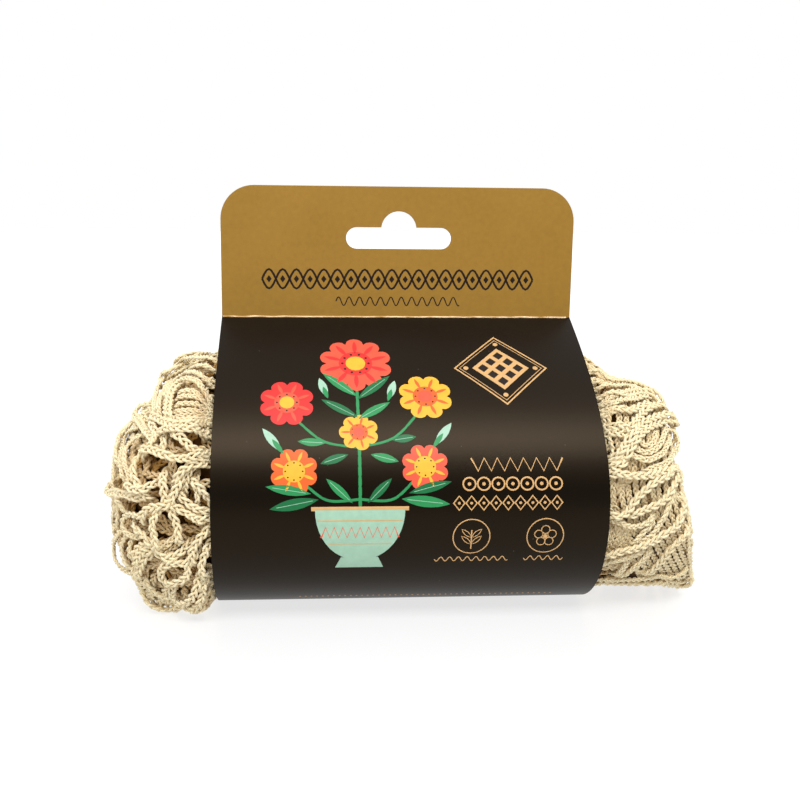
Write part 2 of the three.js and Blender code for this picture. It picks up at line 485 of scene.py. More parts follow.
def plyMesh(name, forwardShift, thickness):
    half = sleeve["width"] / 2
    corner = hangCard["corner"]
    top = hangCard["height"] - corner
    steps = hangCard["arcSteps"]
    outline = [(-half, hangCard["root"]), (half, hangCard["root"])]
    outline += arcPoints((half - corner, top), corner, 0, 90, steps)
    outline += arcPoints((corner - half, top), corner, 90, 180, steps)
    end = hangCard["slotHeight"] / 2
    reach = hangCard["slotWidth"] / 2 - end
    rise = hangCard["slotRise"]
    dome = (0, hangCard["domeRise"])
    spring = math.degrees(math.asin((rise + end - hangCard["domeRise"]) / hangCard["domeRadius"]))
    slot = arcPoints((reach, rise), end, -90, 90, steps)
    slot += arcPoints(dome, hangCard["domeRadius"], spring, 180 - spring, hangCard["domeSteps"])
    slot += arcPoints((-reach, rise), end, 90, 270, steps)
    curve = flatCurve(name, thickness, hangCard["edgeRound"])
    addLine(curve, outline, closed=True)
    addLine(curve, slot, closed=True)
    mesh = evaluated(curve)
    mesh.transform(cardPlane(forwardShift))
    return mesh


def beadMesh(name, side):
    # The fold's raised lip, a little wavy as cracked board is
    chance = random.Random(creaseBead["seed"] + side)
    half = sleeve["width"] / 2
    y = sleeve["creaseY"] + side * (sleeve["board"] + creaseBead["proud"])
    x = -half + creaseBead["radius"]
    points = []
    while x < half:
        drift = noise.noise(Vector((x / creaseBead["wanderEach"], side, 0))) * creaseBead["wander"]
        rise = drift + creaseBead["jitter"] * chance.uniform(-1, 1)
        points.append((sleeve["middle"] + x, y, sleeve["creaseZ"] + rise))
        x += creaseBead["step"]
    curve = newCurve(name, creaseBead["radius"], creaseBead["roundness"])
    addLine(curve, points)
    return evaluated(curve)


def addSleeve():
    black = blackBoard()
    edge = cutBoardEdge()
    gold = goldBoard()
    crease = crackedCreaseHighlight()
    thickness = sleeve["board"] - hangCard["seam"] / 2
    shift = (thickness + hangCard["seam"]) / 2
    pieces = [
        ("card_wrap", wrapMesh([black, edge]), [black, edge]),
        ("card_front_ply", plyMesh("frontPly", shift, thickness), [gold]),
        ("card_back_ply", plyMesh("backPly", -shift, thickness), [gold]),
        ("card_front_crease", beadMesh("frontBead", -1), [crease]),
        ("card_back_crease", beadMesh("backBead", 1), [crease]),
    ]
    for name, mesh, materials in pieces:
        mesh.transform(Matrix.Scale(mm, 4))
        addPiece(name, mesh, "card_sleeve", materials)


addSleeve()
print("card sleeve made")


# The print: flat inks drawn on a plane and bent over the sleeve. On the wrap a drawing's
# first number runs across from the sleeve's middle and its second down from the crease.
# On the hang card the second runs up from the crease. The motifs are plain folk ornament.

inks = {
    "coral": "#E4573F",
    "red": "#D9322F",
    "orange": "#E2622A",
    "yellow": "#EFAE35",
    "leaf": "#2C8A50",
    "darkLeaf": "#1C6B3E",
    "mint": "#9FC4AC",
    "tan": "#CFA36C",
    "brown": "#1D120B",
}

inkFilm = {
    "over": 0.03,  # above the board
    "under": 0.05,  # into it, so that no gap shows at the bends
    "layer": 0.02,
    "bendStep": 1.2,
    "faceSteps": 80,
    "mottle": 2.0,
    "shades": (0.9, 1.04),
}

posy = {
    "middle": -14.0,
    "stem": 0.9,
    "stemRun": (24.0, 45.0, 66.5),
    "branch": 0.72,
    "branchSteps": 12,
    # start on the stem, bend and end, each across and down
    "branches": [
        ((0, 50), (-10, 49), (-17.5, 41)),
        ((0, 50), (10, 48), (17, 39)),
        ((0, 64), (-9, 65), (-14.5, 60)),
        ((0, 64), (9, 65), (14.5, 59)),
    ],
    # across and down, radius, petals, petal ink, ring ink
    "blossoms": [
        (0, 21.5, 10.5, 10, "coral", "red"),
        (-19.5, 36.0, 7.6, 8, "red", "coral"),
        (19.0, 34.0, 7.6, 8, "yellow", "orange"),
        (-17.5, 56.5, 6.4, 8, "orange", "yellow"),
        (17.5, 55.5, 6.4, 8, "coral", "yellow"),
        (0, 45.5, 5.4, 7, "yellow", "orange"),
    ],
    # root and tip, each across and down, half width, ink
    "leaves": [
        ((0, 34), (-9.5, 25.5), 2.0, "leaf"),
        ((0, 35), (9.5, 26.5), 2.0, "darkLeaf"),
        ((0, 41), (-10, 35), 1.9, "darkLeaf"),
        ((0, 41.5), (9, 36), 1.9, "leaf"),
        ((-9, 48.7), (-16.5, 48.2), 1.7, "leaf"),
        ((9, 48), (15.5, 47), 1.7, "darkLeaf"),
        ((-3, 52), (-10.5, 54.5), 1.7, "darkLeaf"),
        ((3, 52), (10.5, 54), 1.7, "leaf"),
        ((-2, 65), (-9, 58.5), 1.7, "leaf"),
        ((2, 65), (8.5, 58.5), 1.7, "darkLeaf"),
        ((-11, 64), (-24, 66.5), 2.2, "darkLeaf"),
        ((11, 64), (24, 65.5), 2.2, "leaf"),
        ((-13, 62.5), (-25, 60.5), 1.9, "leaf"),
        ((13, 62.5), (24.5, 59.5), 1.9, "darkLeaf"),
    ],
    "vein": 0.22,
    "veinRun": (0.12, 0.85),  # shares of the leaf's length
    "buds": [(-10.5, 29.5), (10.8, 30.5), (-26.0, 46.5), (25.5, 45.0)],
    # ink, layer, half width, then root and tip: share of the way across and millimetres down
    "budParts": [("mint", 1, 1.7, (0.8, 4.6), (1.0, -2.2)), ("leaf", 2, 1.0, (0.78, 5.2), (0.9, 1.0))],
    "vaseRim": 66.5,
    "vaseHalf": 12.0,
    "vaseDepth": 15.0,
    "vaseArc": (8, 172, 20),  # degrees and steps
    "vaseFoot": [(-5, 80.5), (5, 80.5), (6.5, 84), (-6.5, 84)],
    # half width, down from the rim, stroke
    "vaseLines": [(13.0, 0, 1.1), (11.28, 3.2, 0.5), (8.4, 9.8, 0.5)],
    "vaseZigzag": (10.32, 6.5, 1.5, 18, 0.7),  # half width, down, half height, steps, stroke
}

# How a leaf's sides bend
leafShape = {
    "bulge": 1.35,  # beside its half width
    "rootPull": 0.8,  # share of the way from the root to the bulge
    "tipPull": 0.55,
    "steps": 8,
}

# Shares of a blossom's radius
blossomShape = {
    "valley": 0.8,  # the outline between two petals
    "bluntness": 0.6,
    "archSteps": 8,
    "petal": (0.378, 0.9),
    "petalHalf": 0.09,
    "ring": 0.46,
    "eye": 0.27,
    "seedRing": 0.36,
    "seed": 0.035,
}

# A lozenge tile: its outlines and studs, and a field with a lattice of holes, by shares of its half
tile = {
    "centre": (27.9, 23.4),
    "half": 13.3,
    "outlines": [(1.0, 0.675), (0.9, 0.315)],  # and stroke
    "field": 0.62,
    "holeApart": 0.19,
    "hole": 0.12,
    "studs": 0.76,
    "stud": 0.055,
}

# Each row's or fine line's start, end, place down and number of steps
rows = {
    "stroke": 0.45,
    "zigzag": (16.0, 41.0, 55.0, 14),
    "zigzagHalf": 1.8,
    "circles": (13.3, 40.7, 60.2, 7),
    "circle": 1.7,
    "circleDot": 0.5,
    "lozenges": (10.8, 40.6, 65.3, 9),
    "lozenge": (1.5, 1.9),
    "lozengeDot": 0.4,
    "waves": [(6.3, 26.4, 81.6), (30.8, 41.6, 81.6)],
    "wave": (0.7, 2.4, 0.28),  # half height, length, stroke
    "dots": (-30.8, 42.8, 100.0, 46),
    "dot": 0.28,
    "waveSteps": 12,  # in each wave
}

rings = {
    "radius": 5.0,
    "stroke": 0.3,
    "sprig": (16.0, 74.7),
    "sprigStem": (3.6, -2.0, 0.35),  # down from, down to, stroke
    "sprigLeaves": (0.2, 2.2),
    "sprigLeaf": (2.7, -2.4, 0.8, 0.22),  # its tip across and down, half width, stroke
    "leafSteps": 5,
    "flower": (36.1, 74.7),
    "flowerPetals": (5, 1.9, 1.15, 0.25),  # number, distance, radius, stroke
    "flowerEye": 0.6,
}

# On the hang card: start, end and place up
cardPattern = {
    "band": (-41.3, 41.4, 11.35),
    "bandHalf": 2.9,
    "bandWaves": 10,
    "bandStroke": 0.75,
    "eye": (0.8, 1.1),
    "wave": (-19.0, 18.9, 4.7),
    "waveHalf": 1.3,
    "waveLength": 3.2,
    "waveStroke": 0.42,
}


def offsetInk(colour):
    # Offset ink under the same satin film: flat opaque colour, a little mottled by the paper
    material, tree, shader = newMaterial(colour + "OffsetInk")
    _, tone = patches(tree, inkFilm["mottle"], detail=3, band=(0.25, 0.75), values=inkFilm["shades"])
    flat = linear(inks[colour])[:3]
    shade = addNode(tree, "ShaderNodeVectorMath", {0: flat, "Scale": tone}, operation="SCALE")
    setInputs(shader, {
        "Base Color": shade.outputs[0],
        "Roughness": 0.45,
        "IOR": 1.47,
        "Specular IOR Level": 0.25,
    })
    return material


def wrapFace():
    # The front half of the wrap's face, with the distance down it from the crease
    run = []
    stations = wrapStations()[:4]
    for (start, _, after), (end, before, _) in zip(stations, stations[1:]):
        run += interpolate_bezier(start, after, before, end, inkFilm["faceSteps"])[:-1]
    run = np.array([(p.x, p.y) for p in run])
    down = np.r_[0, np.cumsum(np.linalg.norm(np.diff(run, axis=0), axis=1))]
    return run, down


faceRun, faceDown = wrapFace()
faceTangent = unit(np.gradient(faceRun, axis=0))


def bendOntoWrap(mesh):
    # Cuts the flat drawing into narrow strips and lays it on the wrap
    shape = bmesh.new()
    shape.from_mesh(mesh)
    lines = [v.co.y for v in shape.verts]
    step = inkFilm["bendStep"]
    for i in range(math.ceil(min(lines) / step), math.ceil(max(lines) / step)):
        everything = shape.verts[:] + shape.edges[:] + shape.faces[:]
        cut = (0, i * step, 0)
        bmesh.ops.bisect_plane(shape, geom=everything, dist=1e-5, plane_co=cut, plane_no=(0, 1, 0))
    for vert in shape.verts:
        across, down, out = vert.co
        y, z = [np.interp(down, faceDown, column) for column in faceRun.T]
        ty, tz = [np.interp(down, faceDown, column) for column in faceTangent.T]
        vert.co = (sleeve["middle"] + across, y + tz * out, z - ty * out)
    shape.normal_update()
    shape.to_mesh(mesh)
    shape.free()
    return mesh


def layOnCard(mesh):
    mesh.transform(cardPlane(sleeve["board"]))
    return mesh


# Every drawing is a closed fill or a stroke, kept as (kind, ink, layer, width, points)
wrapDrawings = []
cardDrawings = []


def fill(colour, points, layer=0, where=wrapDrawings):
    where.append(("fill", colour, layer, 0, points))


def stroke(colour, points, width, layer=0, where=wrapDrawings, closed=False):
    where.append(("closed" if closed else "open", colour, layer, width, points))


def circle(centre, radius, steps=24):
    return arcPoints(centre, radius, 0, 360 - 360 / steps, steps - 1)


def lozenge(centre, halfWidth, halfHeight):
    x, y = centre
    return [(x, y - halfHeight), (x + halfWidth, y), (x, y + halfHeight), (x - halfWidth, y)]


def zigzag(start, end, level, half, steps):
    return [(start + (end - start) * i / steps, level + (half if i % 2 else -half)) for i in range(steps + 1)]


def wave(start, end, level, half, length, phase=0.0):
    count = round((end - start) / length * rows["waveSteps"])
    places = np.linspace(start, end, count + 1)
    return np.c_[places, level + half * np.sin(2 * math.pi * (places - start) / length + phase)]


def stepsAlong(start, end, level, count):
    # The middles of so many equal steps
    return [(start + (end - start) * (i + 0.5) / count, level) for i in range(count)]


def leafOutline(root, tip, halfWidth, steps=leafShape["steps"]):
    root, tip = Vector(root), Vector(tip)
    across = (tip - root).orthogonal().normalized() * halfWidth
    sides = []
    for side in (1, -1):
        middle = (root + tip) / 2 + across * side * leafShape["bulge"]
        nearRoot = root.lerp(middle, leafShape["rootPull"])
        nearTip = tip.lerp(middle, leafShape["tipPull"])
        sides.append([(p.x, p.y) for p in interpolate_bezier(root, nearRoot, nearTip, tip, steps)])
    return sides[0] + sides[1][-2:0:-1]


def scalloped(centre, radius, petals):
    # A round flower outline: one arch for each petal
    points = []
    valley = blossomShape["valley"]
    count = petals * blossomShape["archSteps"]
    for i in range(count):
        angle = 2 * math.pi * i / count
        arch = abs(math.sin(angle * petals / 2)) ** blossomShape["bluntness"]
        reach = radius * (valley + (1 - valley) * arch)
        points.append((centre[0] + reach * math.cos(angle), centre[1] + reach * math.sin(angle)))
    return points


def drawBlossom(centre, radius, petals, petalInk, ringInk):
    part = {name: radius * blossomShape[name] for name in ("petalHalf", "ring", "eye", "seedRing", "seed")}
    fill(petalInk, scalloped(centre, radius, petals))
    for i in range(petals):
        angle = 2 * math.pi * (i + 0.5) / petals
        way = Vector((math.cos(angle), math.sin(angle))) * radius
        root, tip = [Vector(centre) + way * share for share in blossomShape["petal"]]
        fill(ringInk, leafOutline(root, tip, part["petalHalf"]), layer=1)
    fill(ringInk, circle(centre, part["ring"]), layer=1)
    fill("yellow" if petalInk != "yellow" else "coral", circle(centre, part["eye"], steps=16), layer=2)
    for spot in circle(centre, part["seedRing"], steps=petals):
        fill("brown", circle(spot, part["seed"], steps=8), layer=2)


def drawPosy():
    x0 = posy["middle"]
    rim = posy["vaseRim"]
    stroke("leaf", [(x0, down) for down in posy["stemRun"]], posy["stem"])
    for start, bend, end in posy["branches"]:
        line = interpolate_bezier(Vector(start), Vector(bend), Vector(bend), Vector(end), posy["branchSteps"])
        stroke("leaf", [(x0 + p.x, p.y) for p in line], posy["branch"])
    for root, tip, halfWidth, colour in posy["leaves"]:
        root, tip = [Vector((x0 + across, down)) for across, down in (root, tip)]
        fill(colour, leafOutline(root, tip, halfWidth), layer=1)
        vein = [tuple(root.lerp(tip, share)) for share in posy["veinRun"]]
        stroke("mint", vein, posy["vein"], layer=2)
    for across, down in posy["buds"]:
        for colour, layer, halfWidth, *ends in posy["budParts"]:
            root, tip = [(x0 + across * share, down + lower) for share, lower in ends]
            fill(colour, leafOutline(root, tip, halfWidth), layer)
    for across, down, *look in posy["blossoms"]:
        drawBlossom((x0 + across, down), *look)
    half = posy["vaseHalf"]
    bowl = [(x0 - half, rim), (x0 + half, rim)]
    bowl += [(x0 + x * half, rim + y * posy["vaseDepth"]) for x, y in arcPoints((0, 0), 1, *posy["vaseArc"])]
    fill("mint", bowl, layer=3)
    fill("mint", [(x0 + across, down) for across, down in posy["vaseFoot"]], layer=3)
    for reach, lower, width in posy["vaseLines"]:
        stroke("tan", [(x0 - reach, rim + lower), (x0 + reach, rim + lower)], width, layer=4)
    reach, lower, height, steps, width = posy["vaseZigzag"]
    stroke("coral", zigzag(x0 - reach, x0 + reach, rim + lower, -height, steps), width, layer=4)


def drawTile():
    centre = tile["centre"]
    half = tile["half"]
    size = {name: half * tile[name] for name in ("field", "holeApart", "hole", "studs", "stud")}
    for share, width in tile["outlines"]:
        stroke("tan", lozenge(centre, half * share, half * share), width, closed=True)
    fill("tan", lozenge(centre, size["field"], size["field"]))
    for i in (-1, 0, 1):
        for j in (-1, 0, 1):
            spot = (centre[0] + (i - j) * size["holeApart"], centre[1] + (i + j) * size["holeApart"])
            fill("brown", lozenge(spot, size["hole"], size["hole"]), layer=1)
    for spot in lozenge(centre, size["studs"], size["studs"]):
        fill("tan", circle(spot, size["stud"], steps=12))


def drawRows():
    start, end, down, steps = rows["zigzag"]
    stroke("tan", zigzag(start, end, down, rows["zigzagHalf"], steps), rows["stroke"])
    for middle in stepsAlong(*rows["circles"]):
        stroke("tan", circle(middle, rows["circle"], steps=16), rows["stroke"], closed=True)
        fill("tan", circle(middle, rows["circleDot"], steps=8))
    for middle in stepsAlong(*rows["lozenges"]):
        stroke("tan", lozenge(middle, *rows["lozenge"]), rows["stroke"], closed=True)
        fill("tan", circle(middle, rows["lozengeDot"], steps=8))


def drawRings():
    for name in ("sprig", "flower"):
        stroke("tan", circle(rings[name], rings["radius"], steps=32), rings["stroke"], closed=True)
    x, y = rings["sprig"]
    low, high, width = rings["sprigStem"]
    stroke("tan", [(x, y + low), (x, y + high)], width)
    across, rise, halfWidth, width = rings["sprigLeaf"]
    for side in (-1, 1):
        for down in rings["sprigLeaves"]:
            tip = (x + side * across, y + down + rise)
            outline = leafOutline((x, y + down), tip, halfWidth, rings["leafSteps"])
            stroke("tan", outline, width, closed=True)
    count, distance, radius, width = rings["flowerPetals"]
    for spot in arcPoints(rings["flower"], distance, -90, 270 - 360 / count, count - 1):
        stroke("tan", circle(spot, radius, steps=14), width, closed=True)
    fill("tan", circle(rings["flower"], rings["flowerEye"], steps=12))


def drawFineLines():
    half, length, width = rows["wave"]
    for start, end, down in rows["waves"]:
        stroke("tan", wave(start, end, down, half, length), width)
    start, end, down, count = rows["dots"]
    for spot in stepsAlong(start, end, down, count):
        fill("tan", circle(spot, rows["dot"], steps=8))


def drawHangCard():
    # Two crossing waves with a lozenge in each eye, above one thin wave
    start, end, up = cardPattern["band"]
    count = cardPattern["bandWaves"]
    for phase in (0, math.pi):
        band = wave(start, end, up, cardPattern["bandHalf"], (end - start) / count, phase)
        stroke("brown", band, cardPattern["bandStroke"], where=cardDrawings)
    for middle in stepsAlong(start, end, up, 2 * count):
        fill("brown", lozenge(middle, *cardPattern["eye"]), where=cardDrawings)
    thin = wave(*cardPattern["wave"], cardPattern["waveHalf"], cardPattern["waveLength"])
    stroke("brown", thin, cardPattern["waveStroke"], where=cardDrawings)


def inkMesh(kind, layer, width, points):
    lift = layer * inkFilm["layer"]
    thickness = inkFilm["over"] + inkFilm["under"] + lift
    if kind == "fill":
        curve = flatCurve("fill", thickness)
        addLine(curve, points, closed=True)
        mesh = evaluated(curve)
    else:
        curve = newCurve("stroke", width / 2, 1)
        addLine(curve, points, closed=kind == "closed")
        mesh = evaluated(curve)
        mesh.transform(Matrix.Diagonal((1, 1, thickness / width, 1)))
    mesh.transform(Matrix.Translation((0, 0, inkFilm["over"] + lift - thickness / 2)))
    return mesh


def addInks(drawings, place, prefix):
    for colour in inks:
        chosen = [drawing for drawing in drawings if drawing[1] == colour]
        if not chosen:
            continue
        shape = bmesh.new()
        for kind, _, layer, width, points in chosen:
            shape.from_mesh(inkMesh(kind, layer, width, points))
        mesh = place(meshFromShape(prefix + colour, shape))
        mesh.transform(Matrix.Scale(mm, 4))
        addPiece(prefix + colour, mesh, "card_sleeve", [offsetInk(colour)])


drawPosy()
drawTile()
drawRows()
drawRings()
drawFineLines()
drawHangCard()
addInks(wrapDrawings, bendOntoWrap, "wrap_ink_")
addInks(cardDrawings, layOnCard, "card_ink_")
print("print laid on the board")


# The rolled net. Its cords are traced on the photograph and laid on the CAD bag's outline.

bag = {
    "axis": (0.2, 34.0),  # Y and Z of the roll's middle line
    "coreSink": {"left": 5.0, "right": 3.2},
    "coreSleeveSink": 2.4,
    "coreRamp": (-6.0, 2.0),  # millimetres out of the sleeve between the two sinks
    "coreSmooth": (3, 0.5),  # rounds, and how far each one goes
    "coreBelow": 2.2,  # the core keeps this much further in than the cords
    "sleeveSink": 1.6,  # cords keep this far inside the roll's outline under the sleeve
    "edgeFrom": 0.6,  # and from here outwards
    "edgeBlend": 2.0,  # may rise this much for each millimetre out of it
    "rayReaches": (190, 300, 2.0),  # where a ray that misses the bag is searched for its nearest pass
    "traceStep": 3.6,  # pixels
    "proud": 3.4,  # a traced cord may stand this far off the CAD bag
    "farFrom": 4.0,  # Y where the unseen side's copies of the traced cords begin
    "shortest": 4,  # points in a cord worth keeping
    "shortestCopy": 6,
    "step": 1.0,
    "sleeveGap": 3.5,  # a cord that ends closer to the sleeve runs on under it
    "tuck": 7.0,  # and this far in
    "tuckSlope": 0.35,
    "endRun": 3.0,  # any other end runs on and dips behind its neighbours
    "endDip": 4.5,
    "endShares": (0.2, 1.0, 5),
    "endCurve": 1.4,
    "foldShadeFrom": 0.9,  # painted shade: cords turn honey brown from this far inside the outline
    "foldShadeDeep": 3.4,  # and are fully so this much deeper
    "swellShare": 0.7,  # of a fold's rise that the traced cords on it take up
    # place on the CAD bag, radius and rise of the folds that stand off it or fall in
    "swells": [
        ((-70, 11, 66), 18, 4.3),
        ((-55, 2, 73), 12, -4.2),
        ((-85, -3, 47), 11, 2.4),
        ((-73, -20, 2), 12, 2.4),
        ((72, -13, 61), 16, 4.2),
        ((85, -17, 5), 9, 2.2),
        ((68, -15, 0), 22, -2.6),
    ],
    "floor": 1.2,
    "wobble": 0.45,  # the net was crumpled, so no cord runs true
    "wobbleEach": 3.5,
    "wobbleApart": 3.7,  # from one cord's wobble to the next one's
    "seed": 5,
}

plait = {
    "yarn": 0.8,  # diameter
    "width": 0.86,  # sideways swing of each yarn
    "depth": 0.36,
    "pitch": 6.8,
    "step": 0.68,
    "sides": 6,
    "taper": 2.6,  # the yarns draw together at a cord's ends
    "tipWidth": 0.3,  # to this share of the width
    "pitchSpread": 0.07,
    "uneven": 0.25,  # share of the width that comes and goes
    "unevenEach": 4.0,
    "unevenTurn": 0.8,
    "unevenPlane": 7,
    "underShade": 0.42,  # painted shade: how brown a yarn turns where it dips under the others
    "underCurve": 1.5,
}

# The undyed cotton's tones, its painted shades and the sizes of its pattern
cotton = {
    "lit": ("#EFDDAE", "#F9EDCA"),
    "litPatch": 9,
    # painted shade: the honey brown that light passed from cord to cord gives deep in the folds
    "paintedFoldShade": "#C2944A",
    "plyStep": 1.5,  # along the yarn from one ply to the next
    "plies": 2,
    # painted shade: how dark the line between the plies turns
    "grooveShade": 0.86,
    "fuzz": 0.38,  # single hairs are too fine to show, so their fluff is drawn this coarse
    "fuzzShades": (0.9, 1.05),
    "fuzzRise": 0.35,  # beside the plies' rise
    "shadow": ("#1E1208", "#6B4A24"),
    "shadowPatch": 6.2,
}

# Cords as fine as the knitting: those side by side in the rings and along the outline
fineCords = [
    "rimOverTop", "secondOverTop", "thirdOverTop", "ringOuter", "ringInner", "outlineFar",
    "outlineBetween", "outlineSecond", "outlineThird", "tipDrop", "farLoop", "farLoopInner", "farStrut",
    "leftOval", "hatchUpper", "hatchLower", "innerFall", "innerFallRight", "topOutline", "topSecond",
    "topThird", "topShort", "shoulder", "shoulderLow", "bowInner", "bowOuter", "bowFill", "bowDeep",
    "bowFull", "fourthLow", "fifthLow", "fifthDrop", "sixthInner", "hem", "outline", "tipCorner",
    "crossLow", "crossShort",
]

# Left end, pixels of the photograph: name: (lift above the outline in mm, points along the cord)
leftCords = {
    "rimOverTop": (-1.0, [
        (217, 359), (199, 357), (186, 359), (176, 365), (168, 373), (160, 384), (156, 391), (155, 399),
        (154, 408), (154, 418),
    ]),
    "secondOverTop": (-0.6, [
        (216, 363), (203, 365), (190, 368), (181, 372), (173, 379), (167, 386), (162, 393), (159, 402),
        (158.5, 412), (159, 419),
    ]),
    "thirdOverTop": (0.0, [
        (215, 376), (203, 375), (192, 372), (182, 375), (174, 381), (168, 388), (164, 394),
    ]),
    "ringOuter": (0.4, [
        (166, 419), (165, 410), (167, 402), (168, 394), (173, 387), (178, 382), (184, 379), (191, 379),
        (199, 381), (205, 386), (209, 393), (211, 400), (208, 407), (203, 412), (199, 418), (193, 421),
        (184, 422), (176, 421),
    ]),
    "ringInner": (-0.4, [(173, 420), (171, 412), (171, 404), (172, 396), (174, 390), (179, 384)]),
    "belowPanel": (0.6, [
        (151, 417), (160, 419), (169, 422), (178, 423), (187, 422), (195, 420), (201, 415), (206, 409),
    ]),
    "beam": (1.0, [(159, 431), (166, 428), (177, 427), (187, 427), (195, 425), (203, 428), (213, 431)]),
    "lump": (-0.8, [(150, 405), (143, 405), (138, 409), (136, 416), (139, 422)]),
    "lumpFill": (-1.4, [(151, 411), (145, 410), (142, 415), (146, 421)]),
    "outlineFar": (-1.2, [
        (139, 417), (129, 425), (122, 432), (117, 441), (115, 453), (114, 466), (113, 479), (112, 487),
    ]),
    "outlineBetween": (-1.0, [(138, 418), (127.5, 427), (121, 435), (117, 446), (116.5, 455), (118, 464)]),
    "outlineFill": (-1.8, [(141, 421), (130, 429), (123, 438), (119, 448), (118, 458)]),
    "outlineSecond": (-0.8, [
        (141, 424), (134, 429), (127, 436), (122, 445), (120, 455), (121, 466), (123, 478),
    ]),
    "outlineThird": (-0.4, [
        (142, 433), (134, 439), (128, 446), (125, 455), (125, 464), (127, 474), (129, 483),
    ]),
    "shoulderDrop": (0.4, [(136, 417), (141, 425), (146, 432), (150, 439), (154, 446)]),
    "shoulderHook": (0.8, [(151, 418), (153, 427), (157, 434), (155, 441), (149, 447), (143, 452)]),
    "longBeam": (1.2, [
        (143, 449), (152, 450), (160, 453), (169, 456), (178, 459), (187, 459), (195, 454), (203, 452),
        (212, 446),
    ]),
    "beamStrut": (0.6, [(175, 433), (182, 438), (188, 445), (193, 450), (201, 452)]),
    "shortStrut": (-1.0, [(161, 434), (164, 441), (163, 449)]),
    "underBeam": (0.8, [(211, 459), (203, 462), (196, 462), (189, 466), (182, 472), (177, 480)]),
    "leftBow": (0.2, [(145, 450), (138, 457), (134, 463), (133, 475), (137, 487), (142, 495)]),
    "leftTip": (-0.5, [
        (113, 479), (108, 486), (105, 490), (111, 493), (118, 494), (127, 495), (136, 498), (143, 497),
    ]),
    "tipBridge": (0.3, [(127, 483), (136, 490), (145, 489), (150, 485)]),
    "tipDrop": (-1.0, [(115, 496), (120, 504), (123, 512)]),
    "knotFromAbove": (0.9, [(162, 479), (163, 489), (165, 497), (168, 505)]),
    "knotDown": (0.6, [(168, 505), (172, 514), (176, 524), (179, 532), (178, 540)]),
    "knotSweep": (1.2, [
        (178, 479), (176, 488), (173, 497), (169, 505), (162, 506), (153, 507), (146, 509), (142, 514),
        (141, 519),
    ]),
    "knotRight": (1.0, [(169, 505), (178, 508), (185, 513), (194, 518), (203, 520), (211, 519)]),
    "rightStrut": (0.2, [(180, 495), (187, 502), (196, 508), (208, 511)]),
    "rightStrutUpper": (0.0, [(194, 484), (201, 491), (207, 500), (210, 508)]),
    "thickDrop": (1.4, [(158, 509), (153, 519), (153, 529), (155, 539), (154, 549)]),
    "lowKnotLeft": (0.6, [(154, 550), (145, 551), (139, 557), (136, 566)]),
    "lowKnotArch": (0.2, [(154, 548), (146, 545), (139, 548), (133, 556)]),
    "lowKnotRight": (0.4, [(154, 550), (161, 556), (166, 560), (174, 558), (181, 552)]),
    "lowKnotUp": (0.5, [(154, 548), (148, 541), (140, 533), (133, 528)]),
    "leftOval": (0.0, [(141, 518), (133, 514), (125, 516), (121, 524), (126, 533), (135, 537), (142, 533)]),
    "farLoop": (-1.2, [(121, 530), (115, 539), (113, 549), (115, 560), (121, 567), (130, 573), (137, 577)]),
    "farLoopInner": (-1.0, [(128, 534), (122, 542), (121, 552), (125, 563), (131, 570)]),
    "farStrut": (-0.8, [(132, 540), (129, 550), (131, 560)]),
    "lowerDrop": (0.3, [(150, 554), (143, 560), (139, 568), (138, 577)]),
    "loop": (1.0, [
        (194, 558), (190, 566), (189, 573), (183, 580), (174, 584), (165, 584), (161, 577), (162, 568),
        (168, 564), (176, 562), (183, 565),
    ]),
    "edgeSweep": (0.9, [(211, 529), (203, 535), (197, 543), (193, 553), (192, 562)]),
    "edgeSweepSecond": (0.7, [(207, 545), (204, 556), (201, 565), (202, 575), (205, 583)]),
    "lowLoop": (0.5, [(198, 585), (195, 595), (189, 602), (181, 605), (174, 601), (171, 594), (174, 587)]),
    "lowLoopRight": (0.2, [(201, 586), (203, 596), (198, 605), (190, 611)]),
    "footLine": (-0.5, [(186, 603), (190, 609), (195, 613), (203, 607), (211, 599)]),
    "footSweep": (-0.8, [
        (134, 575), (139, 583), (143, 594), (149, 603), (158, 608), (168, 610), (177, 608), (186, 604),
    ]),
    "footStrut": (-0.4, [(167, 592), (162, 600), (160, 608)]),
    "footFill": (-1.0, [(139, 577), (146, 587), (153, 596), (162, 602), (174, 603)]),
    "footFillUpper": (-1.2, [(144, 578), (151, 587), (159, 594), (168, 598)]),
    "footFillDown": (-1.4, [(152, 580), (150, 590), (152, 600), (158, 606)]),
    "hatchUpper": (-1.5, [(161, 548), (168, 543), (174, 538)]),
    "hatchLower": (-1.5, [(163, 556), (171, 550), (178, 545)]),
    "innerFall": (-0.6, [(195, 466), (190, 474), (186, 482), (184, 490)]),
    "innerFallRight": (-0.4, [(195, 480), (195, 486), (198, 494), (196, 503)]),
}

# Rows of the knitted hem that shows in the left end's ring
leftKnit = {
    "row1": [(180, 392), (188, 390), (197, 392)],
    "row2": [(177, 398), (187, 396), (198, 397), (205, 400)],
    "row3": [(176, 405), (187, 403), (199, 404), (206, 405)],
    "row4": [(175, 411), (186, 410), (198, 410), (204, 410)],
    "row5": [(176, 417), (187, 416), (199, 416)],
}

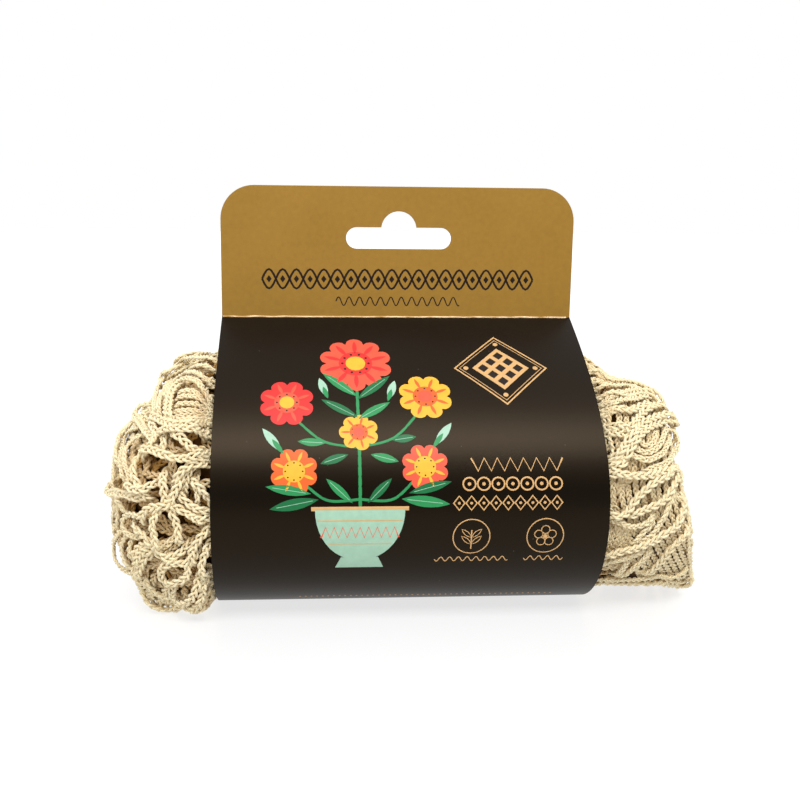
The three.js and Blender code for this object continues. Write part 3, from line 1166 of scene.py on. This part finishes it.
# Right end, in the same way
rightCords = {
    "topOutline": (-1.0, [
        (589, 365), (602, 373), (608, 380), (616, 381), (633, 383), (647, 388), (656, 393), (663, 400),
        (664, 408),
    ]),
    "topSecond": (-0.6, [(595, 374), (602, 381), (610, 385), (621, 386), (633, 386), (645, 389)]),
    "topThird": (0.2, [(596, 387), (608, 390), (618, 393), (630, 396), (641, 393), (653, 396), (663, 404)]),
    "topShort": (-0.2, [(598, 396), (608, 396), (615, 400)]),
    "shoulder": (0.0, [(597, 398), (615, 395), (631, 392), (653, 391)]),
    "shoulderLow": (0.1, [(601, 410), (607, 404), (627, 399), (651, 396)]),
    "shoulderInner": (0.0, [(615, 408), (629, 411), (641, 408), (649, 404)]),
    "upperThick": (0.8, [(630, 430), (641, 414), (647, 408), (656, 404), (661, 403), (664, 405)]),
    "edgeHook": (0.4, [(602, 424), (615, 424), (626, 428), (629, 432)]),
    "edgeHookLow": (-0.2, [(605, 429), (616, 430), (625, 433), (631, 435)]),
    "secondThick": (1.0, [
        (620, 458), (626, 444), (632, 434), (640, 427), (648, 421), (659, 416), (667, 414), (674, 415),
    ]),
    "secondThickLow": (0.6, [(625, 457), (633, 441), (645, 429), (658, 424), (670, 419), (677, 419)]),
    "bowInner": (-0.8, [(666, 428), (663, 437), (658, 447), (649, 453), (641, 452), (636, 447)]),
    "bowOuter": (-0.3, [(672, 429), (668, 441), (663, 452), (654, 458), (644, 460), (633, 457)]),
    "bowFill": (-1.4, [(667, 420), (672, 426), (674, 435), (672, 446)]),
    "bowDeep": (-1.2, [(654, 429), (653, 439), (648, 447), (642, 446), (641, 438)]),
    "bowFull": (0.0, [(675, 431), (677, 441), (674, 452), (668, 460), (661, 466), (649, 471)]),
    "middleLine": (0.6, [(609, 476), (621, 473), (630, 476), (654, 473), (667, 470), (677, 467)]),
    "middleHook": (0.4, [(608, 460), (615, 462), (621, 457), (626, 452)]),
    "middleHookLow": (0.2, [(609, 467), (618, 466), (626, 459)]),
    "thirdThick": (0.8, [
        (610, 516), (623, 516), (636, 501), (644, 492), (654, 483), (666, 477), (674, 470),
    ]),
    "fourthThick": (0.9, [(636, 514), (654, 506), (661, 503), (668, 496), (678, 477)]),
    "fourthLow": (0.2, [(610, 517), (629, 526), (637, 527), (648, 523), (654, 514)]),
    "fifthThick": (1.0, [(607, 556), (632, 548), (654, 539), (670, 530), (678, 523), (685, 503)]),
    "fifthLow": (0.4, [(604, 563), (623, 558), (642, 552)]),
    "fifthDrop": (0.4, [(617, 576), (629, 560)]),
    "sixthInner": (0.3, [(623, 577), (633, 568), (643, 558), (649, 551)]),
    "sixthThick": (0.8, [(648, 573), (659, 563), (667, 553), (673, 546), (679, 541), (687, 533)]),
    "hem": (0.4, [(599, 580), (644, 578), (658, 574), (671, 577), (688, 569)]),
    "footLine": (-0.8, [
        (596, 584), (613, 583), (630, 583), (646, 582), (659, 582), (671, 585), (683, 586), (691, 582),
    ]),
    "cornerFill": (-1.0, [(668, 580), (676, 582), (684, 582), (690, 577)]),
    "outline": (-1.0, [(687, 510), (688, 524), (687, 536), (688, 553), (690, 568), (691, 577)]),
    "tipCorner": (0.0, [(678, 496), (685, 504), (687, 513)]),
    "crossLow": (0.3, [(672, 497), (668, 507), (663, 520), (657, 529), (649, 539), (637, 546)]),
    "crossShort": (-0.3, [(652, 520), (646, 528), (639, 536), (635, 544)]),
}

# The knitted panels behind the right end's cords: one column's line, and the columns' starts
rightKnit = [
    {
        "firstX": 603,
        "lastX": 690,
        "spacingX": 7.6,
        "line": [(0, 405), (1, 440), (2, 480), (6, 510), (22, 545), (40, 580)],
    },
    {"firstX": 611, "lastX": 634, "spacingX": 5.4, "line": [(0, 524), (-2, 534), (-6, 546), (-9, 558)]},
]

knit = {
    "lift": -1.7,
    "yarn": 0.66,
    "width": 0.62,
    "depth": 0.3,
    "pitch": 5.2,
}

# Nets behind and between the traced cords, wrapped over each end from a point inside it
nets = {
    "left": [
        {"turn": 24, "spacing": 6.4, "wave": 19, "lift": -2.5, "seed": 3, "name": "net"},
        {"turn": 78, "spacing": 5.4, "wave": 17, "lift": -4.2, "seed": 8, "name": "deep"},
        {"turn": -35, "spacing": 6.5, "wave": 20, "lift": -0.7, "seed": 14, "name": "cover"},
    ],
    "right": [
        {"turn": 62, "spacing": 6.0, "wave": 20, "lift": -2.4, "seed": 5, "name": "net"},
        {"turn": -20, "spacing": 6.5, "wave": 22, "lift": -3.6, "seed": 21, "name": "deep"},
        {"turn": 40, "spacing": 5.5, "wave": 19, "lift": -0.7, "seed": 17, "name": "cover"},
    ],
}

netShape = {
    "focus": {"left": -58.0, "right": 54.0},
    "inside": 33.0,  # millimetres of plane for each radian from the tip
    "reach": 55.0,
    "step": 1.1,
    "shortest": 8,  # steps in a run worth keeping
    "zigzag": 0.46,  # share of the spacing that a run swings to each side
    "warp": 6.4,
    "warpDepth": 0.25,  # share of the warp that goes in and out
    "warpEach": 22.0,
    "clear": 2.6,  # a covering net keeps this far from traced cords
}

# The rolled net's end, seen from the side: turns of the roll joined by their zigzag
rollFace = {
    "first": 3.0,
    "last": 31.0,
    "spacing": 4.6,
    "swing": 0.5,  # share of the spacing
    "wave": 13.0,
    "lift": {"left": -1.6, "right": -1.0},
    "warp": 3.0,
    "warpDepth": 0.3,
    "warpEach": 17.0,
    "seed": 2.4,
}

# How cords that cut into each other are pushed apart
pushing = {
    "rounds": 8,
    "near": 1.75,
    "share": 0.35,
    "most": 0.6,  # in one round
    # how far each kind of cord may move in all, and outwards
    "freedom": {
        "front": (0.5, 0.35),
        "back": (0.9, 0.35),
        "knit": (0.3, 0),
        "net": (1.6, 0),
        "deep": (1.6, 0),
        "cover": (1.6, 0),
        "face": (1.2, 0),
    },
}


def bagTree():
    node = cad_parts["string_bag"]
    places = [v.co / mm for v in node.data.vertices]
    return BVHTree.FromPolygons(places, [tuple(p.vertices) for p in node.data.polygons])


outlineTree = bagTree()
eye = Vector(camera["place"])
axisY, axisZ = bag["axis"]
sleeveEdges = {"left": sleeveLow.x, "right": sleeveHigh.x}
outwards = {"left": -1, "right": 1}


def nearest(place):
    # The CAD bag's nearest point and the normal there
    return outlineTree.find_nearest(place)[:2]


def innerRadii(count=180):
    # How far the roll reaches from its middle line inside the sleeve, by angle
    start = Vector((sleeve["middle"], axisY, axisZ))
    angles = [2 * math.pi * i / count for i in range(count)]
    hits = [outlineTree.ray_cast(start, Vector((0, math.cos(a), math.sin(a)))) for a in angles]
    return np.array([distance for _, _, _, distance in hits])


rollRadii = innerRadii()


def keepInside(path, end, further=0.0):
    # Cords slip under the sleeve at its edge and stay above the table
    angle = np.arctan2(path[:, 2] - axisZ, path[:, 1] - axisY) / (2 * math.pi) % 1
    limit = np.interp(angle * len(rollRadii), np.arange(len(rollRadii) + 1), np.r_[rollRadii, rollRadii[0]])
    out = (path[:, 0] - sleeveEdges[end]) * outwards[end]
    rise = np.clip(out - bag["edgeFrom"], 0, None) * bag["edgeBlend"]
    limit = limit - bag["sleeveSink"] - further + rise
    radius = np.hypot(path[:, 1] - axisY, path[:, 2] - axisZ)
    share = np.minimum(1, limit / np.maximum(radius, 1e-6))
    path[:, 1] = axisY + (path[:, 1] - axisY) * share
    path[:, 2] = axisZ + (path[:, 2] - axisZ) * share
    path[:, 2] = np.maximum(path[:, 2], bag["floor"])
    return path


def swelling(place):
    # How far the net stands off the CAD bag at a place, from the listed swells
    total = 0
    for centre, radius, rise in bag["swells"]:
        share = min(1, (place - Vector(centre)).length / radius)
        total += rise * (1 - share * share) ** 2
    return total


def rayReach(ray):
    # Distance to the bag along a camera ray, or to the ray's nearest pass by it
    hit = outlineTree.ray_cast(eye, ray)
    if hit[0] is not None:
        return hit[3], True
    reaches = np.arange(*bag["rayReaches"])
    misses = [outlineTree.find_nearest(eye + ray * reach)[3] for reach in reaches]
    return reaches[int(np.argmin(misses))], False


def traceCord(pixels, lift, onlyOnBag=False):
    # A cord under the traced pixels, laid on the bag's outline and lifted towards the eye
    rays = [pixelRay(x, y) for x, y in smoothRun(pixels, bag["traceStep"])]
    found = [(ray, *rayReach(ray)) for ray in rays]
    kept = [(ray, reach) for ray, reach, met in found if met or not onlyOnBag]
    if len(kept) < bag["shortest"]:
        return None
    reaches = smoothAlong(np.array([reach for _, reach in kept]), reach=2)
    path = []
    for (ray, _), reach in zip(kept, reaches):
        place = eye + ray * (reach - lift)
        place -= ray * max(0, swelling(place)) * bag["swellShare"]
        spot, normal = nearest(place)
        proud = (place - spot).dot(normal) - bag["proud"]
        path.append(place - normal * max(0, proud))
    return np.array(path)


def mirrored(path, lift):
    # The same cord laid on the roll's far side, without the part that would come over the top
    kept = []
    for x, y, z in path:
        other = Vector((x, 2 * axisY - y, z))
        if other.y > bag["farFrom"]:
            spot, normal = nearest(other)
            kept.append(spot + normal * (lift + swelling(spot)))
    return np.array(kept) if len(kept) >= bag["shortestCopy"] else None


def finishEnds(path, end):
    # Runs each end on: under the sleeve if it stops there, or down behind its neighbours
    middle = np.array([sleeveEdges[end], axisY, axisZ])
    for _ in range(2):
        path = path[::-1]
        tail = unit(path[-1] - path[-bag["shortest"]])
        gap = (path[-1, 0] - sleeveEdges[end]) * outwards[end]
        if gap < bag["sleeveGap"]:
            inward = np.array([-outwards[end], *(tail[1:] * bag["tuckSlope"])])
            more = path[-1] + unit(inward) * np.arange(1, gap + bag["tuck"])[:, None]
        else:
            share = np.linspace(*bag["endShares"])[:, None]
            dip = unit(middle - path[-1]) * bag["endDip"] * share ** bag["endCurve"]
            more = path[-1] + tail * bag["endRun"] * share + dip
        path = np.vstack([path, more])
    return path


def onEnd(p, q, end, lift):
    # A place on the plane in front of an end, wrapped over it from a point inside
    focus = Vector((netShape["focus"][end], axisY, axisZ))
    radius = math.hypot(p, q)
    tilt = radius / netShape["inside"]
    sweep = math.sin(tilt) / max(radius, 1e-6)
    way = Vector((outwards[end] * math.cos(tilt), p * sweep, q * sweep)).normalized()
    hit = outlineTree.ray_cast(focus, way)[0]
    return hit and hit + way * (lift + swelling(hit))


def keptRuns(places):
    # The unbroken stretches that are long enough, with None at each break
    runs = [[]]
    for place in places:
        if place is None:
            runs.append([])
        else:
            runs[-1].append(place)
    return [np.array(run) for run in runs if len(run) >= netShape["shortest"]]


def netRuns(end, layer):
    # Zigzag cords in a plane, neighbours touching, wrapped over the end
    turn = math.radians(layer["turn"])
    reach = netShape["reach"]
    lines = int(reach / layer["spacing"]) + 1
    runs = []
    for i in range(-lines, lines + 1):
        places = []
        for along in np.arange(-reach, reach, netShape["step"]):
            swing = math.sin(2 * math.pi * along / layer["wave"] + math.pi * i)
            across = (i + swing * netShape["zigzag"]) * layer["spacing"]
            spot = Vector((along / netShape["warpEach"], across / netShape["warpEach"], layer["seed"]))
            drift = noise.noise_vector(spot) * netShape["warp"]
            a, b = along + drift.x, across + drift.y
            p = a * math.cos(turn) - b * math.sin(turn)
            q = a * math.sin(turn) + b * math.cos(turn)
            lift = layer["lift"] + drift.z * netShape["warpDepth"]
            places.append(onEnd(p, q, end, lift) if math.hypot(p, q) < reach else None)
        runs += keptRuns(places)
    return runs


def rollTurns(end):
    # Two spirals in antiphase, so that neighbouring turns touch like net
    runs = []
    for phase in (0, math.pi):
        run = []
        angle = 0.0
        radius = rollFace["first"]
        while radius < rollFace["last"]:
            swing = math.sin(angle * radius / rollFace["wave"] + phase)
            reach = radius + swing * rollFace["spacing"] * rollFace["swing"]
            p, q = reach * math.cos(angle), reach * math.sin(angle)
            drift = noise.noise_vector(Vector((p, q, rollFace["seed"])) / rollFace["warpEach"])
            drift *= rollFace["warp"]
            lift = rollFace["lift"][end] + drift.z * rollFace["warpDepth"]
            place = onEnd(p + drift.x, q + drift.y, end, lift)
            if place:
                run.append(place)
            angle += netShape["step"] / reach
            radius = rollFace["first"] + rollFace["spacing"] * angle / (2 * math.pi)
        runs.append(np.array(run))
    return runs


def treeOf(places):
    tree = KDTree(len(places))
    for i, place in enumerate(places):
        tree.insert(place, i)
    tree.balance()
    return tree


def clearRuns(runs, taken):
    # Only the stretches that keep clear of the traced cords
    tree = treeOf(taken)
    kept = []
    for run in runs:
        kept += keptRuns([place if tree.find(place)[2] > netShape["clear"] else None for place in run])
    return kept


def spreadApart(cords, end):
    # Cords that cut into each other push apart, the traced ones least and none far outwards
    counts = [len(cord["path"]) for cord in cords]
    breaks = np.cumsum(counts)[:-1]
    owner = np.repeat(np.arange(len(cords)), counts)
    give = np.repeat([cord["give"] for cord in cords], counts)[:, None]
    rise = np.repeat([cord["rise"] for cord in cords], counts)
    start = np.vstack([cord["path"] for cord in cords])
    outward = np.array([nearest(place)[1] for place in start])
    places = start.copy()
    near = pushing["near"]
    for _ in range(pushing["rounds"]):
        tree = treeOf(places)
        push = np.zeros_like(places)
        for i, place in enumerate(places):
            for _, j, gap in tree.find_range(place, near):
                if owner[j] != owner[i] and gap > 1e-3:
                    push[i] += (place - places[j]) / gap * (near - gap) * pushing["share"]
        offset = places + capped(push, pushing["most"]) - start
        above = np.sum(offset * outward, axis=1) - rise
        offset = capped(offset - outward * np.maximum(above, 0)[:, None], give)
        offset = np.vstack([smoothAlong(part, reach=1) for part in np.split(offset, breaks)])
        places = keepInside(start + offset, end)
    for cord, path in zip(cords, np.split(places, breaks)):
        cord["path"] = path


def addCord(cords, path, end, group, kind, shape=plait):
    if path is None or len(path) < bag["shortest"]:
        return
    path = evenRun(finishEnds(path, end), bag["step"])
    seed = Vector((0, 0, bag["wobbleApart"] * len(cords)))
    drift = [noise.noise_vector(Vector(place) / bag["wobbleEach"] + seed) for place in path]
    path = keepInside(path + np.array(drift) * bag["wobble"], end)
    give, rise = pushing["freedom"][kind]
    cords.append({"path": path, "group": end + group, "shape": shape, "give": give, "rise": rise})


def knitPaths(end):
    if end == "left":
        return [traceCord(pixels, knit["lift"]) for pixels in leftKnit.values()]
    paths = []
    for panel in rightKnit:
        x = panel["firstX"]
        while x < panel["lastX"]:
            pixels = [(x + across, y) for across, y in panel["line"]]
            paths.append(traceCord(pixels, knit["lift"], onlyOnBag=True))
            x += panel["spacingX"]
    return [path for path in paths if path is not None]


def endCords(end, traced):
    cords = []
    for name, (lift, pixels) in traced.items():
        shape, fineness = (knit, "_fine") if name in fineCords else (plait, "")
        path = traceCord(pixels, lift)
        addCord(cords, path, end, fineness + "_front", "front", shape)
        addCord(cords, mirrored(path, lift), end, fineness + "_back", "back", shape)
    for path in knitPaths(end):
        addCord(cords, path, end, "_knit", "knit", knit)
        addCord(cords, mirrored(path, knit["lift"]), end, "_knit", "knit", knit)
    taken = np.vstack([cord["path"] for cord in cords])
    layers = [(layer["name"], netRuns(end, layer)) for layer in nets[end]]
    for name, runs in layers + [("face", rollTurns(end))]:
        if name in ("cover", "face"):
            runs = clearRuns(runs, taken)
        for run in runs:
            addCord(cords, run, end, "_" + name, name)
    spreadApart(cords, end)
    return cords


def foldShadeShare(path):
    # The share of painted shade: 0 on the bag's outline to 1 deep in the folds
    depths = []
    for place in path:
        spot, normal = nearest(place)
        depths.append((spot - Vector(place)).dot(normal))
    depths = smoothAlong(np.array(depths), reach=2)
    return np.clip((depths - bag["foldShadeFrom"]) / bag["foldShadeDeep"], 0, 1)


def plaitYarns(cord, chance):
    # The three yarns of a cord, each swinging from side to side, over and under the others
    shape = cord["shape"]
    path = evenRun(smoothAlong(cord["path"], reach=1), plait["step"])
    tangent = unit(np.gradient(path, axis=0))
    up = unit(smoothAlong(np.array([nearest(place)[1] for place in path]), reach=3))
    up = unit(up - tangent * np.sum(up * tangent, axis=1, keepdims=True))
    side = np.cross(tangent, up)
    # How much painted shade each place takes from its depth in the folds
    depth = foldShadeShare(path)
    pitch = shape["pitch"] * (1 + plait["pitchSpread"] * chance.uniform(-1, 1))
    start = chance.uniform(0, 2 * math.pi)
    along = np.arange(len(path)) * plait["step"]
    spots = [Vector((s / plait["unevenEach"], start, plait["unevenPlane"])) for s in along]
    wobble = np.array([noise.noise(spot) for spot in spots])
    fromEnd = np.clip(np.minimum(along, along[-1] - along) / plait["taper"], 0, 1)
    taper = plait["tipWidth"] + (1 - plait["tipWidth"]) * fromEnd
    width = shape["width"] * (1 + plait["uneven"] * wobble) * taper
    for k in range(3):
        phase = 2 * math.pi * (along / pitch + k / 3) + start + wobble * plait["unevenTurn"]
        swing = side * (width * np.sin(phase))[:, None]
        rise = np.sin(2 * phase)
        # Painted shade where the yarn dips under the others, added to the folds' painted shade
        under = plait["underShade"] * (0.5 - 0.5 * rise) ** plait["underCurve"]
        yield path + swing + up * (shape["depth"] * rise)[:, None], depth + (1 - depth) * under


def yarnTube(diameter):
    # Geometry nodes: a round tube that remembers its length, its share of painted shade (carried in as the
    # curve's radius and stored as depth) and the way round it
    group = bpy.data.node_groups.new("yarnTube", "GeometryNodeTree")
    for way in ("INPUT", "OUTPUT"):
        group.interface.new_socket("Geometry", in_out=way, socket_type="NodeSocketGeometry")
    source = addNode(group, "NodeGroupInput")
    length = addNode(group, "GeometryNodeSplineParameter")
    depth = addNode(group, "GeometryNodeInputRadius")
    line = addNode(group, "GeometryNodeCaptureAttribute")
    line.capture_items.new("FLOAT", "along")
    line.capture_items.new("FLOAT", "depth")
    setInputs(line, {0: source.outputs[0], 1: length.outputs["Length"], 2: depth.outputs[0]})
    circleNode = addNode(
        group, "GeometryNodeCurvePrimitiveCircle",
        {"Resolution": plait["sides"], "Radius": diameter / 2 * mm},
    )
    spot = addNode(group, "GeometryNodeInputPosition")
    ring = addNode(group, "GeometryNodeCaptureAttribute")
    ring.capture_items.new("VECTOR", "around")
    setInputs(ring, {0: circleNode.outputs["Curve"], 1: spot.outputs[0]})
    tube = addNode(
        group, "GeometryNodeCurveToMesh",
        {"Curve": line.outputs[0], "Profile Curve": ring.outputs[0], "Fill Caps": True},
    )
    flow = tube.outputs[0]
    stored = [
        ("along", "FLOAT", line.outputs[1]),
        ("depth", "FLOAT", line.outputs[2]),
        ("around", "FLOAT_VECTOR", ring.outputs[1]),
    ]
    for name, kind, value in stored:
        store = addNode(
            group, "GeometryNodeStoreNamedAttribute", {"Geometry": flow, "Name": name, "Value": value},
            data_type=kind, domain="POINT",
        )
        flow = store.outputs[0]
    addNode(group, "NodeGroupOutput", {0: flow})
    return group


def cottonCord():
    # Undyed cotton, spun in two plies and plaited: matt, soft and cream, with painted shade:
    # honey brown where the light has passed from cord to cord in the folds and under crossing yarns, and
    # darker lines between the plies
    material, tree, shader = newMaterial("undyedSpunCotton")
    names = ("along", "around", "depth")
    along, around, depth = [addNode(tree, "ShaderNodeAttribute", attribute_name=name) for name in names]
    split = addNode(tree, "ShaderNodeSeparateXYZ", {0: around.outputs["Vector"]})
    angle = addNode(
        tree, "ShaderNodeMath", {0: split.outputs["Y"], 1: split.outputs["X"]}, operation="ARCTAN2",
    )
    plies = addNode(tree, "ShaderNodeMath", {0: angle.outputs[0], 1: cotton["plies"]}, operation="MULTIPLY")
    turn = 2 * math.pi * scaleFor(cotton["plyStep"])
    twist = addNode(
        tree, "ShaderNodeMath", {0: along.outputs["Fac"], 1: turn, 2: plies.outputs[0]},
        operation="MULTIPLY_ADD",
    )
    ripple = addNode(tree, "ShaderNodeMath", {0: twist.outputs[0]}, operation="SINE")
    lay = addNode(
        tree, "ShaderNodeMapRange", {"Value": ripple.outputs[0], "From Min": -1.0, "From Max": 1.0},
    )
    # Painted shade: darker in the grooves between the plies
    grooveShade = addNode(
        tree, "ShaderNodeMapRange",
        {"Value": lay.outputs["Result"], "From Max": 0.5, "To Min": cotton["grooveShade"]},
    )
    fuzz, hair = patches(tree, cotton["fuzz"], detail=3, band=(0.3, 0.7), values=cotton["fuzzShades"])
    lit, _ = twoTone(tree, cotton["lit"], cotton["litPatch"], detail=2)
    # Painted shade: the cream turns honey brown by the stored share
    deep = addNode(
        tree, "ShaderNodeMix", {0: depth.outputs["Fac"], 6: lit, 7: linear(cotton["paintedFoldShade"])},
        data_type="RGBA",
    )
    both = addNode(tree, "ShaderNodeMath", {0: grooveShade.outputs["Result"], 1: hair}, operation="MULTIPLY")
    shade = addNode(
        tree, "ShaderNodeVectorMath", {0: deep.outputs[2], "Scale": both.outputs[0]}, operation="SCALE",
    )
    height = addNode(
        tree, "ShaderNodeMath", {0: fuzz, 1: cotton["fuzzRise"], 2: lay.outputs["Result"]},
        operation="MULTIPLY_ADD",
    )
    relief = addNode(
        tree, "ShaderNodeBump", {"Height": height.outputs[0], "Strength": 0.55, "Distance": 0.12 * mm},
    )
    setInputs(shader, {
        "Base Color": shade.outputs[0],
        "Roughness": 0.92,
        "Specular IOR Level": 0.2,
        "Sheen Weight": 0.3,
        "Sheen Roughness": 0.5,
        "Normal": relief.outputs["Normal"],
    })
    return material


def paintedCoreShadow():
    # The imported inside of the roll, painted as shadow: the cotton seen between the cords is painted dark
    # brown shade
    material, tree, shader = newMaterial("packedCottonShadow")
    colour, cloud = twoTone(tree, cotton["shadow"], cotton["shadowPatch"], detail=4, band=(0.35, 0.65))
    relief = addNode(tree, "ShaderNodeBump", {"Height": cloud, "Strength": 0.8, "Distance": 1.0 * mm})
    setInputs(shader, {
        "Base Color": colour,
        "Roughness": 0.95,
        "Specular IOR Level": 0.05,
        "Normal": relief.outputs["Normal"],
    })
    return material


def coreMesh():
    # A merged copy of the CAD bag, sunk well below its cords: a dark sheet that carries the painted shadow
    # between them
    shape = bmesh.new()
    shape.from_mesh(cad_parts["string_bag"].data)
    bmesh.ops.remove_doubles(shape, verts=shape.verts, dist=1e-6)
    bmesh.ops.recalc_face_normals(shape, faces=shape.faces)
    shape.normal_update()
    ends = ["left" if vert.co.x / mm < sleeve["middle"] else "right" for vert in shape.verts]
    for vert, end in zip(shape.verts, ends):
        out = (vert.co.x / mm - sleeveEdges[end]) * outwards[end]
        sink = np.interp(out, bag["coreRamp"], (bag["coreSleeveSink"], bag["coreSink"][end]))
        vert.co -= vert.normal * sink * mm
    rounds, factor = bag["coreSmooth"]
    allAxes = {"use_axis_x": True, "use_axis_y": True, "use_axis_z": True}
    for _ in range(rounds):
        bmesh.ops.smooth_vert(shape, verts=shape.verts, factor=factor, **allAxes)
    for vert, end in zip(shape.verts, ends):
        vert.co = Vector(keepInside(np.array([vert.co / mm]), end, bag["coreBelow"])[0]) * mm
    return meshFromShape("bag_shadow_core", shape)


def cordMesh(name, members, tube, chance):
    curve = newCurve(name)
    for cord in members:
        for yarn, depth in plaitYarns(cord, chance):
            # The share of painted shade rides on each point's radius
            addLine(curve, yarn * mm).points.foreach_set("radius", depth)
    return evaluated(curve, "NODES", node_group=tube)


def addBag():
    material = cottonCord()
    # A dark sheet of painted shadow below the cords
    addPiece("bag_shadow_core", coreMesh(), "string_bag", [paintedCoreShadow()], sharpAngle=None)
    tubes = {size: yarnTube(size) for size in (plait["yarn"], knit["yarn"])}
    chance = random.Random(bag["seed"])
    total = 0
    for end, traced in (("left", leftCords), ("right", rightCords)):
        cords = endCords(end, traced)
        length = sum(len(cord["path"]) for cord in cords) * bag["step"] * mm
        print(end, "cords:", len(cords), "length m:", round(length, 2))
        for group in sorted({cord["group"] for cord in cords}):
            members = [cord for cord in cords if cord["group"] == group]
            mesh = cordMesh(group, members, tubes[members[0]["shape"]["yarn"]], chance)
            triangles = sum(len(face.vertices) - 2 for face in mesh.polygons)
            total += triangles
            print("  cords_" + group, triangles, "triangles")
            addPiece("cords_" + group, mesh, "string_bag", [material], sharpAngle=None)
    print("net bag made,", total, "triangles")


addBag()


# The studio: a flat white floor, an even white surround and a soft box above the front

studio = {
    "backdrop": 1.0,  # radiance behind and above the pack
    "room": 0.08,  # and low in front of it, where the studio is dark
    "highShare": 0.95,  # how much a direction's height counts beside its depth
    "fade": (-0.5, 0.9),  # where that sum turns from the room to the backdrop
    "floorHalf": 6.0,  # metres, as every place and size here
    "floorTones": ("#7C7C7C", "#808080"),
    "floorPatch": 250,  # millimetres
    "floorGlow": 0.74,
    "keyPlace": (0.02, -0.42, 0.72),
    "keySize": (0.84, 0.3),
    "keyRadiance": 8.6,
    # A weak wide fill low in front, flagged off so that the satin board doesn't mirror it
    "fillPlace": (-0.45, -0.62, 0.22),
    "fillSize": (0.9, 0.5),
    "fillRadiance": 0.85,
    "aim": (0, 0, 0.045),
}


def sweepFloor():
    # A lit white acrylic table: clean, nearly shadowless, with a soft reflection of the pack close to it
    material, tree, shader = newMaterial("litWhiteAcrylic")
    colour, _ = twoTone(tree, studio["floorTones"], studio["floorPatch"], detail=2)
    setInputs(shader, {
        "Base Color": colour,
        "Roughness": 0.26,
        "Specular IOR Level": 0.28,
        "Emission Color": (1, 1, 1, 1),
        "Emission Strength": studio["floorGlow"],
    })
    return material


def addFloor():
    shape = bmesh.new()
    bmesh.ops.create_grid(shape, x_segments=1, y_segments=1, size=studio["floorHalf"])
    mesh = meshFromShape("floor", shape)
    mesh.materials.append(sweepFloor())
    floor = bpy.data.objects.new("floor", mesh)
    scene.collection.objects.link(floor)


def addSurround():
    # White wherever the camera looks, and for the lighting darker towards the room
    world = bpy.data.worlds.new("surround")
    world.use_nodes = True
    scene.world = world
    tree = world.node_tree
    way = addNode(tree, "ShaderNodeTexCoord").outputs["Generated"]
    split = addNode(tree, "ShaderNodeSeparateXYZ", {0: way})
    height = addNode(
        tree, "ShaderNodeMath", {0: split.outputs["Z"], 1: studio["highShare"], 2: split.outputs["Y"]},
        operation="MULTIPLY_ADD",
    )
    first, last = studio["fade"]
    limits = {"From Min": first, "From Max": last, "To Min": studio["room"], "To Max": studio["backdrop"]}
    behind = addNode(tree, "ShaderNodeMapRange", {"Value": height.outputs[0], **limits})
    path = addNode(tree, "ShaderNodeLightPath")
    seen = addNode(
        tree, "ShaderNodeMath", {0: path.outputs["Is Camera Ray"], 1: behind.outputs["Result"]},
        operation="MAXIMUM",
    )
    setInputs(tree.nodes["Background"], {"Color": (1, 1, 1, 1), "Strength": seen.outputs[0]})


def addLight(name, seenInGloss):
    data = bpy.data.lights.new(name, "AREA")
    data.shape = "RECTANGLE"
    data.size, data.size_y = studio[name + "Size"]
    data.energy = studio[name + "Radiance"] * data.size * data.size_y * math.pi
    lamp = bpy.data.objects.new(name, data)
    place = Vector(studio[name + "Place"])
    turn = (Vector(studio["aim"]) - place).to_track_quat("-Z", "Y").to_matrix().to_4x4()
    lamp.matrix_world = Matrix.Translation(place) @ turn
    lamp.visible_camera = False
    lamp.visible_glossy = seenInGloss
    scene.collection.objects.link(lamp)


addFloor()
addSurround()
addLight("key", seenInGloss=True)
addLight("fill", seenInGloss=False)
print("studio lit")
